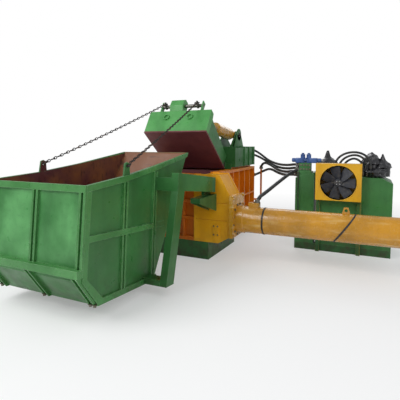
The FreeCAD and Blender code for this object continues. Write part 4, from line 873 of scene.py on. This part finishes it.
@dataclass
class HoseShop:
    """The hoses between the press and its power unit, with their nuts and ferrules."""

    finisher: Finisher
    ferrule_length: float = 0.075
    nut_back: float = 0.0165
    reach: float = 0.0315

    def ferrule(self, route: HoseRoute, place: Point, way: Point, name: str) -> bpy.types.Object:
        """A crimped ferrule and its hexagon nut at one end of a hose."""
        clear_choice()
        radius = route.diameter * 0.62
        bpy.ops.mesh.primitive_cylinder_add(vertices=24, radius=radius, depth=self.ferrule_length)
        sleeve = bpy.context.object
        rounded(sleeve, 0.003)
        bpy.ops.mesh.primitive_cylinder_add(vertices=6, radius=radius * 1.35, depth=radius * 1.3,
                                            location=(0, 0, -self.nut_back))
        bpy.ops.object.transform_apply()
        nut = bpy.context.object
        rounded(nut, 0.003)
        fitting = joined(sleeve, nut)
        turn = Vector(way).to_track_quat("Z", "Y").to_matrix().to_4x4()
        shift = Matrix.Translation(Vector(place) + Vector(way) * self.reach)
        fitting.data.transform(shift @ turn)
        return self.finisher.hand_over(fitting, name, PRESS, "pin", "valve_block")

    def build(self) -> None:
        for route in HOSES:
            hose = tube_along(route.points, route.diameter / 2, 16)
            hose.data.bevel_resolution = 5
            self.finisher.hand_over(hose, route.name, PRESS, "hose", "cylinder_straps")
            back = tuple(-value for value in route.last_way)
            fittings = [self.ferrule(route, route.points[0], route.first_way, f"{route.name}_first_end"),
                        self.ferrule(route, route.points[-1], back, f"{route.name}_last_end")]


@dataclass
class CoolerDress:
    """The cooler's fin pack behind its fan, the fan's hub bolts and the rolled inlet ring."""

    finisher: Finisher
    centre: Point = (2.555, 0.508, 1.192)
    fin_rows: int = 41
    fin_pitch: float = 0.0138
    fin_circle: float = 0.282
    fin_depth: float = 0.633
    duct_radius: float = 0.2835
    duct_depth: float = 0.155
    duct_middle: float = 0.5625
    blades: int = 7
    blade_root: float = 0.046
    blade_length: float = 0.214
    blade_rows: int = 8
    root_pitch: float = 28.0
    pitch_fall: float = 1.2
    hub_depth: float = 0.044
    hub_circle: float = 0.032

    def fins(self) -> None:
        """A pack of thin dark fins at the back of the duct."""
        clear_choice()
        bpy.ops.mesh.primitive_cube_add(size=1)
        fin = bpy.context.object
        fitted((0.004, 0.02, 0.56))
        spots = []
        for step in range(self.fin_rows):
            across = (step - self.fin_rows // 2) * self.fin_pitch
            tall = math.sqrt(self.fin_circle ** 2 - across ** 2) / self.fin_circle
            spots.append(Matrix.Translation((self.centre[0] + across, self.fin_depth, self.centre[2]))
                         @ Matrix.Diagonal((1, 1, tall, 1)))
        pack = copied_to(fin, "cooler_fins", spots)
        self.finisher.hand_over(pack, "cooler_fins", PRESS, "fins", "cooler_fan")

    def duct(self) -> None:
        """The black lining of the fan's duct."""
        clear_choice()
        bpy.ops.mesh.primitive_cylinder_add(vertices=72, radius=self.duct_radius, depth=self.duct_depth,
                                            end_fill_type="NOTHING", rotation=(math.pi / 2, 0, 0),
                                            location=(self.centre[0], self.duct_middle, self.centre[2]))
        bpy.ops.object.transform_apply()
        duct = bpy.context.object
        walled(duct, 0.002)
        self.finisher.hand_over(duct, "cooler_duct", PRESS, "fins", "cooler_housing")

    def blade(self) -> bpy.types.Object:
        """One broad paddle of the fan, pitched, lying along X from the hub."""
        clear_choice()
        bpy.ops.mesh.primitive_grid_add(x_subdivisions=self.blade_rows, y_subdivisions=6, size=1)
        paddle = bpy.context.object
        fitted((self.blade_length, 0.15, 1), (self.blade_root + self.blade_length / 2, 0, 0))
        for step in range(self.blade_rows + 1):
            along = self.blade_root + step * self.blade_length / self.blade_rows
            choose(paddle, lambda place: abs(place.x - along) < 0.006)
            width = 0.56 + 0.5 * math.sin(math.pi * min(1.0, step / 6) / 2)
            bpy.ops.transform.resize(value=(1, width, 1), center_override=(along, 0, 0))
            bpy.ops.transform.rotate(value=math.radians(self.root_pitch - step * self.pitch_fall),
                                     orient_axis="X", center_override=(along, 0, 0))
            bpy.ops.object.mode_set(mode="OBJECT")
        walled(paddle, 0.004)
        paddle.data.transform(Matrix.Rotation(math.pi / 2, 4, "X"))
        return paddle

    def fan(self) -> None:
        """The fan: broad paddles on a domed hub."""
        spots = [Matrix.Translation(self.centre) @ Matrix.Rotation(math.tau * step / self.blades, 4, "Y")
                 for step in range(self.blades)]
        blades = copied_to(self.blade(), "fan_blades", spots)
        clear_choice()
        bpy.ops.mesh.primitive_cylinder_add(vertices=48, radius=0.062, depth=self.hub_depth,
                                            location=self.centre, rotation=(math.pi / 2, 0, 0))
        bpy.ops.object.transform_apply()
        hub = bpy.context.object
        rounded(hub, 0.008, 3)
        fan = self.finisher.hand_over(joined(blades, hub), "fan_blades", FAN, "blade", "cooler_fan")
        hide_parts("cooler_fan")

    def ring(self) -> None:
        """The rolled lip round the fan's opening."""
        clear_choice()
        bpy.ops.mesh.primitive_torus_add(major_radius=0.285, minor_radius=0.008, major_segments=72,
                                         minor_segments=10, location=(self.centre[0], 0.4745, self.centre[2]),
                                         rotation=(math.pi / 2, 0, 0))
        bpy.ops.object.transform_apply()
        self.finisher.hand_over(bpy.context.object, "cooler_inlet_ring", PRESS, "cooler", "cooler_housing")

    def hub_bolts(self) -> None:
        """Four bright bolts on the fan's hub."""
        spots = []
        face = self.centre[1] - self.hub_depth / 2 + 0.002
        for step in range(4):
            angle = math.radians(45 + 90 * step)
            place = (self.centre[0] + self.hub_circle * math.cos(angle), face,
                     self.centre[2] + self.hub_circle * math.sin(angle))
            spots.append(Matrix.Translation(place) @ Matrix.Rotation(math.pi / 2, 4, "X"))
        bolts = copied_to(hex_bolt(0.0085, 0.008), "fan_hub_bolts", spots)
        self.finisher.hand_over(bolts, "fan_hub_bolts", FAN, "rod", "cooler_fan")

    def build(self) -> None:
        """Dress the cooler."""
        self.fins()
        self.duct()
        self.fan()
        self.ring()
        self.hub_bolts()


@dataclass
class ChainDress:
    """The lifting chains, link by link, each in the two halves that ride on their own bodies."""

    finisher: Finisher
    pitch: float = 0.052
    bar: float = 0.0055
    half_width: float = 0.0165
    sag: float = 0.018

    def link(self) -> bpy.types.Object:
        """One oval link, lying along X in the plane of X and Y."""
        clear_choice()
        bpy.ops.mesh.primitive_torus_add(major_radius=self.half_width, minor_radius=self.bar,
                                         major_segments=18, minor_segments=7)
        ring = bpy.context.object
        stretch = (self.pitch - 2 * (self.half_width - self.bar)) / 2
        for way in (1, -1):
            for vertex in ring.data.vertices:
                vertex.select = vertex.co.x * way > 0.001
            bpy.ops.object.mode_set(mode="EDIT")
            bpy.ops.transform.translate(value=(stretch * way, 0, 0))
            bpy.ops.mesh.select_all(action="DESELECT")
            bpy.ops.object.mode_set(mode="OBJECT")
        return ring

    def half(self, name: str, start: Vector, end: Vector, first: int, last: int, count: int) -> None:
        """Hang the links from first to last of a chain between two points, with a bolted shackle at its end."""
        places = []
        for step in range(first, last):
            share = (step + 0.5) / count
            middle = start.lerp(end, share) - Vector((0, 0, self.sag * 4 * share * (1 - share)))
            way = (end - start) + Vector((0, 0, -self.sag * 4 * (1 - 2 * share)))
            turn = way.to_track_quat("X", "Z").to_matrix().to_4x4()
            places.append(Matrix.Translation(middle) @ turn @ Matrix.Rotation(math.pi / 2 * (step % 2), 4, "X"))
        root, way = (start, end - start) if first == 0 else (end, start - end)
        turn = way.to_track_quat("X", "Z").to_matrix().to_4x4()
        places.append(Matrix.Translation(root + way.normalized() * 0.012) @ turn @ Matrix.Scale(1.7, 4))
        chain = copied_to(self.link(), f"{name}_links", places)
        clear_choice()
        bpy.ops.mesh.primitive_cylinder_add(vertices=16, radius=0.011, depth=0.09, location=root,
                                            rotation=(0, math.pi / 2, 0))
        bpy.ops.object.transform_apply()
        pin = bpy.context.object
        rounded(pin, 0.003)
        piece = self.finisher.hand_over(joined(chain, pin), f"{name}_links", name, "chain", name)
        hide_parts(name)

    def build(self) -> None:
        """Hang both chains from the hopper's rims to the shaft on the lid."""
        ends = {"near": (Vector((0.55, -2.416729, 1.562279)), Vector((0.29, -0.030995, 2.520864))),
                "far": (Vector((-0.742, -2.416729, 1.562279)), Vector((-0.333, -0.030995, 2.520864)))}
        for side, (lug, eye) in ends.items():
            count = round((eye - lug).length / self.pitch)
            middle = count // 2
            self.half(f"{side}_chain_lower", lug, eye, 0, middle, count)
            self.half(f"{side}_chain_upper", lug, eye, middle, count, count)


@dataclass
class TubeBands:
    """The two narrow bands that hold the film on the main cylinder, one straight and one aslant."""

    finisher: Finisher
    radius: float = 0.2018
    width: float = 0.024

    def band(self, name: str, x: float, lean: float) -> bpy.types.Object:
        """One band round the tube, leant by an angle about Y."""
        clear_choice()
        bpy.ops.mesh.primitive_cylinder_add(vertices=96, radius=self.radius, depth=self.width,
                                            end_fill_type="NOTHING")
        band = bpy.context.object
        fitted((1 / math.cos(lean), 1, 1))
        band.data.transform(Matrix.Translation((x, *TUBE_AXIS)) @ Matrix.Rotation(lean, 4, "Y")
                            @ Matrix.Rotation(math.pi / 2, 4, "Y"))
        walled(band, -0.0025)
        return self.finisher.hand_over(band, name, PRESS, "strap", "cylinder_straps")

    def build(self) -> None:
        """Put both bands on in place of the plain straps."""
        straight = self.band("film_band_straight", 1.602, 0.0)
        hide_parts("cylinder_straps")
        self.band("film_band_aslant", 2.722, math.atan2(0.286, 0.4))


@dataclass(frozen=True)
class Wrap:
    """A motor's film bag: where it stands, how wide and tall it is, and its gathered tip."""

    name: str
    place: tuple[float, float]
    radius: float
    height: float
    tip: float
    stands_for: str | None = None


WRAPS = (
    Wrap("pump_motor_wrap", (2.33, 1.075), 0.155, 0.31, 0.13, "pump_motor"),
    Wrap("first_motor_wrap", (3.03, 1.075), 0.125, 0.39, 0.02, "wrapped_motors"),
    Wrap("second_motor_wrap", (3.20, 1.075), 0.115, 0.28, 0.10),
    Wrap("coupling_wrap", (3.12, 0.93), 0.13, 0.15, 0.01),
)


@dataclass
class UnitDress:
    """What stands on the oil tanks: valve bodies, and film bags over the motors."""

    finisher: Finisher
    tank_top: float = 1.27
    valve_height: float = 1.5325
    block_face: float = 0.694

    def bag(self, wrap: Wrap) -> None:
        """Gather a film bag over a motor."""
        clear_choice()
        bpy.ops.mesh.primitive_uv_sphere_add(segments=40, ring_count=28, radius=1)
        bag = bpy.context.object
        fitted((wrap.radius, wrap.radius, wrap.height / 2))
        for vertex in bag.data.vertices:
            rise = vertex.co.z / (wrap.height / 2)
            flare = 1 + 0.35 * (1 - abs(rise)) if rise > 0 else 1.0
            if rise > 0.93:
                vertex.co.z += wrap.tip * (rise - 0.93) / 0.07
                flare = 0.9
            if rise < 0:
                length = math.hypot(vertex.co.x, vertex.co.y)
                flare = wrap.radius / length if length > 0.004 and rise > -0.995 else 1.0
            vertex.co.x *= min(flare, 3.0)
            vertex.co.y *= min(flare, 3.0)
        folds = bpy.data.textures.new(f"{wrap.name}_folds", "CLOUDS")
        folds.noise_scale = 0.07
        folds.noise_depth = 3
        crumple = bag.modifiers.new("crumple", "DISPLACE")
        crumple.texture = folds
        crumple.strength = 0.045
        bpy.context.view_layer.objects.active = bag
        bpy.ops.object.modifier_apply(modifier=crumple.name)
        bag.data.transform(Matrix.Translation((*wrap.place, self.tank_top + wrap.height / 2)))
        for vertex in bag.data.vertices:
            vertex.co.z = max(vertex.co.z, self.tank_top + 0.001)
        piece = self.finisher.hand_over(bag, wrap.name, PRESS, "black_film", "wrapped_motors")
        if wrap.stands_for:
            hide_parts(wrap.stands_for)

    def valve_bodies(self) -> None:
        """Three blue valve bodies on the block, each with a round cap at both ends."""
        clear_choice()
        bpy.ops.mesh.primitive_cube_add(size=1)
        body = bpy.context.object
        fitted((0.13, 0.12, 0.085))
        rounded(body, 0.012, 3)
        for way in (-1, 1):
            bpy.ops.mesh.primitive_cylinder_add(vertices=28, radius=0.035, depth=0.07,
                                                location=(way * 0.095, 0, 0.004), rotation=(0, math.pi / 2, 0))
            bpy.ops.object.transform_apply()
            end = bpy.context.object
            rounded(end, 0.01, 3)
            joined(body, end)
        spots = [Matrix.Translation((x, y, self.valve_height))
                 for x, y in ((1.895, 0.765), (2.125, 0.765), (1.995, 0.9))]
        bodies = copied_to(body, "valve_bodies", spots)
        self.finisher.hand_over(bodies, "valve_bodies", PRESS, "blue", "valves")

    def block_bolts(self) -> None:
        """The rows of bolts on the valve block's front."""
        spots = [Matrix.Translation((x, self.block_face, z)) @ Matrix.Rotation(math.pi / 2, 4, "X")
                 for x in (1.93, 1.98, 2.03, 2.075) for z in (1.385, 1.455)]
        bolts = copied_to(hex_bolt(0.011, 0.012), "valve_block_bolts", spots)
        self.finisher.hand_over(bolts, "valve_block_bolts", PRESS, "bolt", "valve_block")

    def build(self) -> None:
        """Dress the power unit."""
        for wrap in WRAPS:
            self.bag(wrap)
        self.valve_bodies()
        self.block_bolts()


@dataclass
class RearPipe:
    """The yellow steel pipe that climbs behind the side wall to its hose."""

    finisher: Finisher
    radius: float = 0.021
    route: tuple[Point, ...] = ((0.70, 1.875, 0.62), (0.70, 1.955, 0.62), (0.76, 1.965, 0.62), (0.86, 1.965, 0.62),
                                (0.875, 1.965, 0.66), (0.875, 1.965, 0.9), (0.875, 1.965, 1.1),
                                (0.875, 1.965, 1.31))

    def build(self) -> None:
        """Bend the pipe."""
        pipe = tube_along(self.route, self.radius, 10)
        pipe.select_set(True)
        bpy.context.view_layer.objects.active = pipe
        bpy.ops.object.convert(target="MESH")
        self.finisher.hand_over(bpy.context.object, "rear_pipe", PRESS, "orange", "right_wall")


@dataclass
class StandDress:
    """Round-topped cheeks on the outer sides of the lid cylinders' stands, with their pin ends."""

    finisher: Finisher
    pivot: tuple[float, float] = (1.195, 2.0)
    radius: float = 0.118
    thickness: float = 0.02
    web_height: float = 0.25
    web_middle: float = 1.873
    web_foot: float = 1.748
    web_flare: float = 2.3

    def cheek(self, x: float) -> None:
        """One cheek: a round head on a web that widens down to the box."""
        side = "right" if x > 0 else "left"
        clear_choice()
        bpy.ops.mesh.primitive_cylinder_add(vertices=40, radius=self.radius, depth=self.thickness,
                                            location=(x, *self.pivot), rotation=(0, math.pi / 2, 0))
        bpy.ops.object.transform_apply()
        head = bpy.context.object
        bpy.ops.mesh.primitive_cube_add(size=1)
        web = bpy.context.object
        fitted((self.thickness, 2 * self.radius, self.web_height), (x, self.pivot[0], self.web_middle))
        choose(web, lambda place: place.z < self.web_middle)
        bpy.ops.transform.resize(value=(1, self.web_flare, 1), center_override=(x, self.pivot[0], self.web_foot))
        bpy.ops.object.mode_set(mode="OBJECT")
        cheek = joined(web, head)
        rounded(cheek, 0.003)
        self.finisher.hand_over(cheek, f"stand_cheek_{side}", PRESS, "green", "cylinder_stands")
        out = 1 if x > 0 else -1
        place = Matrix.Translation((x + out * self.thickness / 2, *self.pivot)) @ turned_to(Axis.X)
        if out < 0:
            place = place @ Matrix.Rotation(math.pi, 4, "X")
        pin = copied_to(hex_bolt(0.03, 0.022), f"stand_pin_{side}", [place])
        self.finisher.hand_over(pin, f"stand_pin_{side}", PRESS, "pin", "cylinder_stands")

    def build(self) -> None:
        """Dress both stands."""
        for x in (0.6255, -0.6255):
            self.cheek(x)


# ---- studio


@dataclass
class Studio:
    """Floor, lamps, sky and the camera at the photograph's angle."""

    eye: Point = (3.045, -5.825, 1.8)
    right: Point = (0.90481909, 0.42579495, 0.00103554)
    down: Point = (0.03213054, -0.06585228, -0.99731194)
    ahead: Point = (-0.4245822, 0.90242015, -0.07326543)
    lens: float = 33.3
    shift: tuple[float, float] = (0.00375, -0.07)

    def floor(self) -> None:
        """A wide pale floor at ground level."""
        clear_choice()
        bpy.ops.mesh.primitive_plane_add(size=60, location=(1, 0, 0))
        ground = bpy.context.object
        ground.name = "studio_floor"
        ground.data.materials.append(PaleGround().make())

    def sky(self) -> None:
        """A white surround for the camera and gloss, and a soft light for the rest."""
        world = bpy.data.worlds.new("studio_sky")
        world.use_nodes = True
        bpy.context.scene.world = world
        tree = world.node_tree
        tree.nodes.clear()
        light = tree.nodes.new("ShaderNodeBackground")
        light.inputs["Color"].default_value = (0.96, 0.98, 1.0, 1)
        light.inputs["Strength"].default_value = 0.5
        white = tree.nodes.new("ShaderNodeBackground")
        white.inputs["Color"].default_value = (1, 1, 1, 1)
        white.inputs["Strength"].default_value = 1.0
        path = tree.nodes.new("ShaderNodeLightPath")
        both = tree.nodes.new("ShaderNodeMixShader")
        out = tree.nodes.new("ShaderNodeOutputWorld")
        tree.links.new(path.outputs["Is Camera Ray"], both.inputs[0])
        tree.links.new(light.outputs[0], both.inputs[1])
        tree.links.new(white.outputs[0], both.inputs[2])
        tree.links.new(both.outputs[0], out.inputs[0])

    def lamp(self, name: str, place: Point, target: Point, size: float, power: float) -> None:
        """Hang a square soft lamp that looks at a point."""
        clear_choice()
        bpy.ops.object.light_add(type="AREA", location=place)
        lamp = bpy.context.object
        lamp.name = name
        lamp.data.size = size
        lamp.data.energy = power
        lamp.rotation_euler = (Vector(target) - Vector(place)).to_track_quat("-Z", "Y").to_euler()

    def camera(self) -> None:
        """Set the camera where the photographer stood."""
        clear_choice()
        bpy.ops.object.camera_add(location=self.eye)
        camera = bpy.context.object
        columns = (Vector(self.right), -Vector(self.down), -Vector(self.ahead))
        camera.rotation_euler = Matrix(columns).transposed().to_euler()
        camera.data.lens = self.lens
        camera.data.sensor_width = 36
        camera.data.shift_x, camera.data.shift_y = self.shift
        bpy.context.scene.camera = camera

    def build(self) -> None:
        """Set up the studio."""
        self.floor()
        self.sky()
        self.lamp("key_lamp", (-3.0, -7.0, 6.5), (0, -0.8, 0.9), 5.0, 420)
        self.lamp("fill_lamp", (6.5, -4.0, 4.5), (1.0, 0, 0.8), 5.0, 90)
        self.lamp("rear_lamp", (0.0, 7.0, 6.0), (0.5, 0.5, 0.8), 5.0, 150)
        self.camera()
        bpy.context.scene.view_settings.view_transform = "Standard"


def main() -> None:
    """Build the looks in order."""
    logging.basicConfig(level=logging.INFO, format="%(message)s")
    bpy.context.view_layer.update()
    shop = PaintShop()
    shop.coat_nodes()
    finisher = Finisher(shop)
    Studio().build()
    HoseShop(finisher).build()
    HopperDress(finisher).build()
    PressDress(finisher).build()
    CoolerDress(finisher).build()
    ChainDress(finisher).build()
    TubeBands(finisher).build()
    UnitDress(finisher).build()
    RearPipe(finisher).build()
    StandDress(finisher).build()
    bpy.context.view_layer.update()


if __name__ == "__main__":
    main()
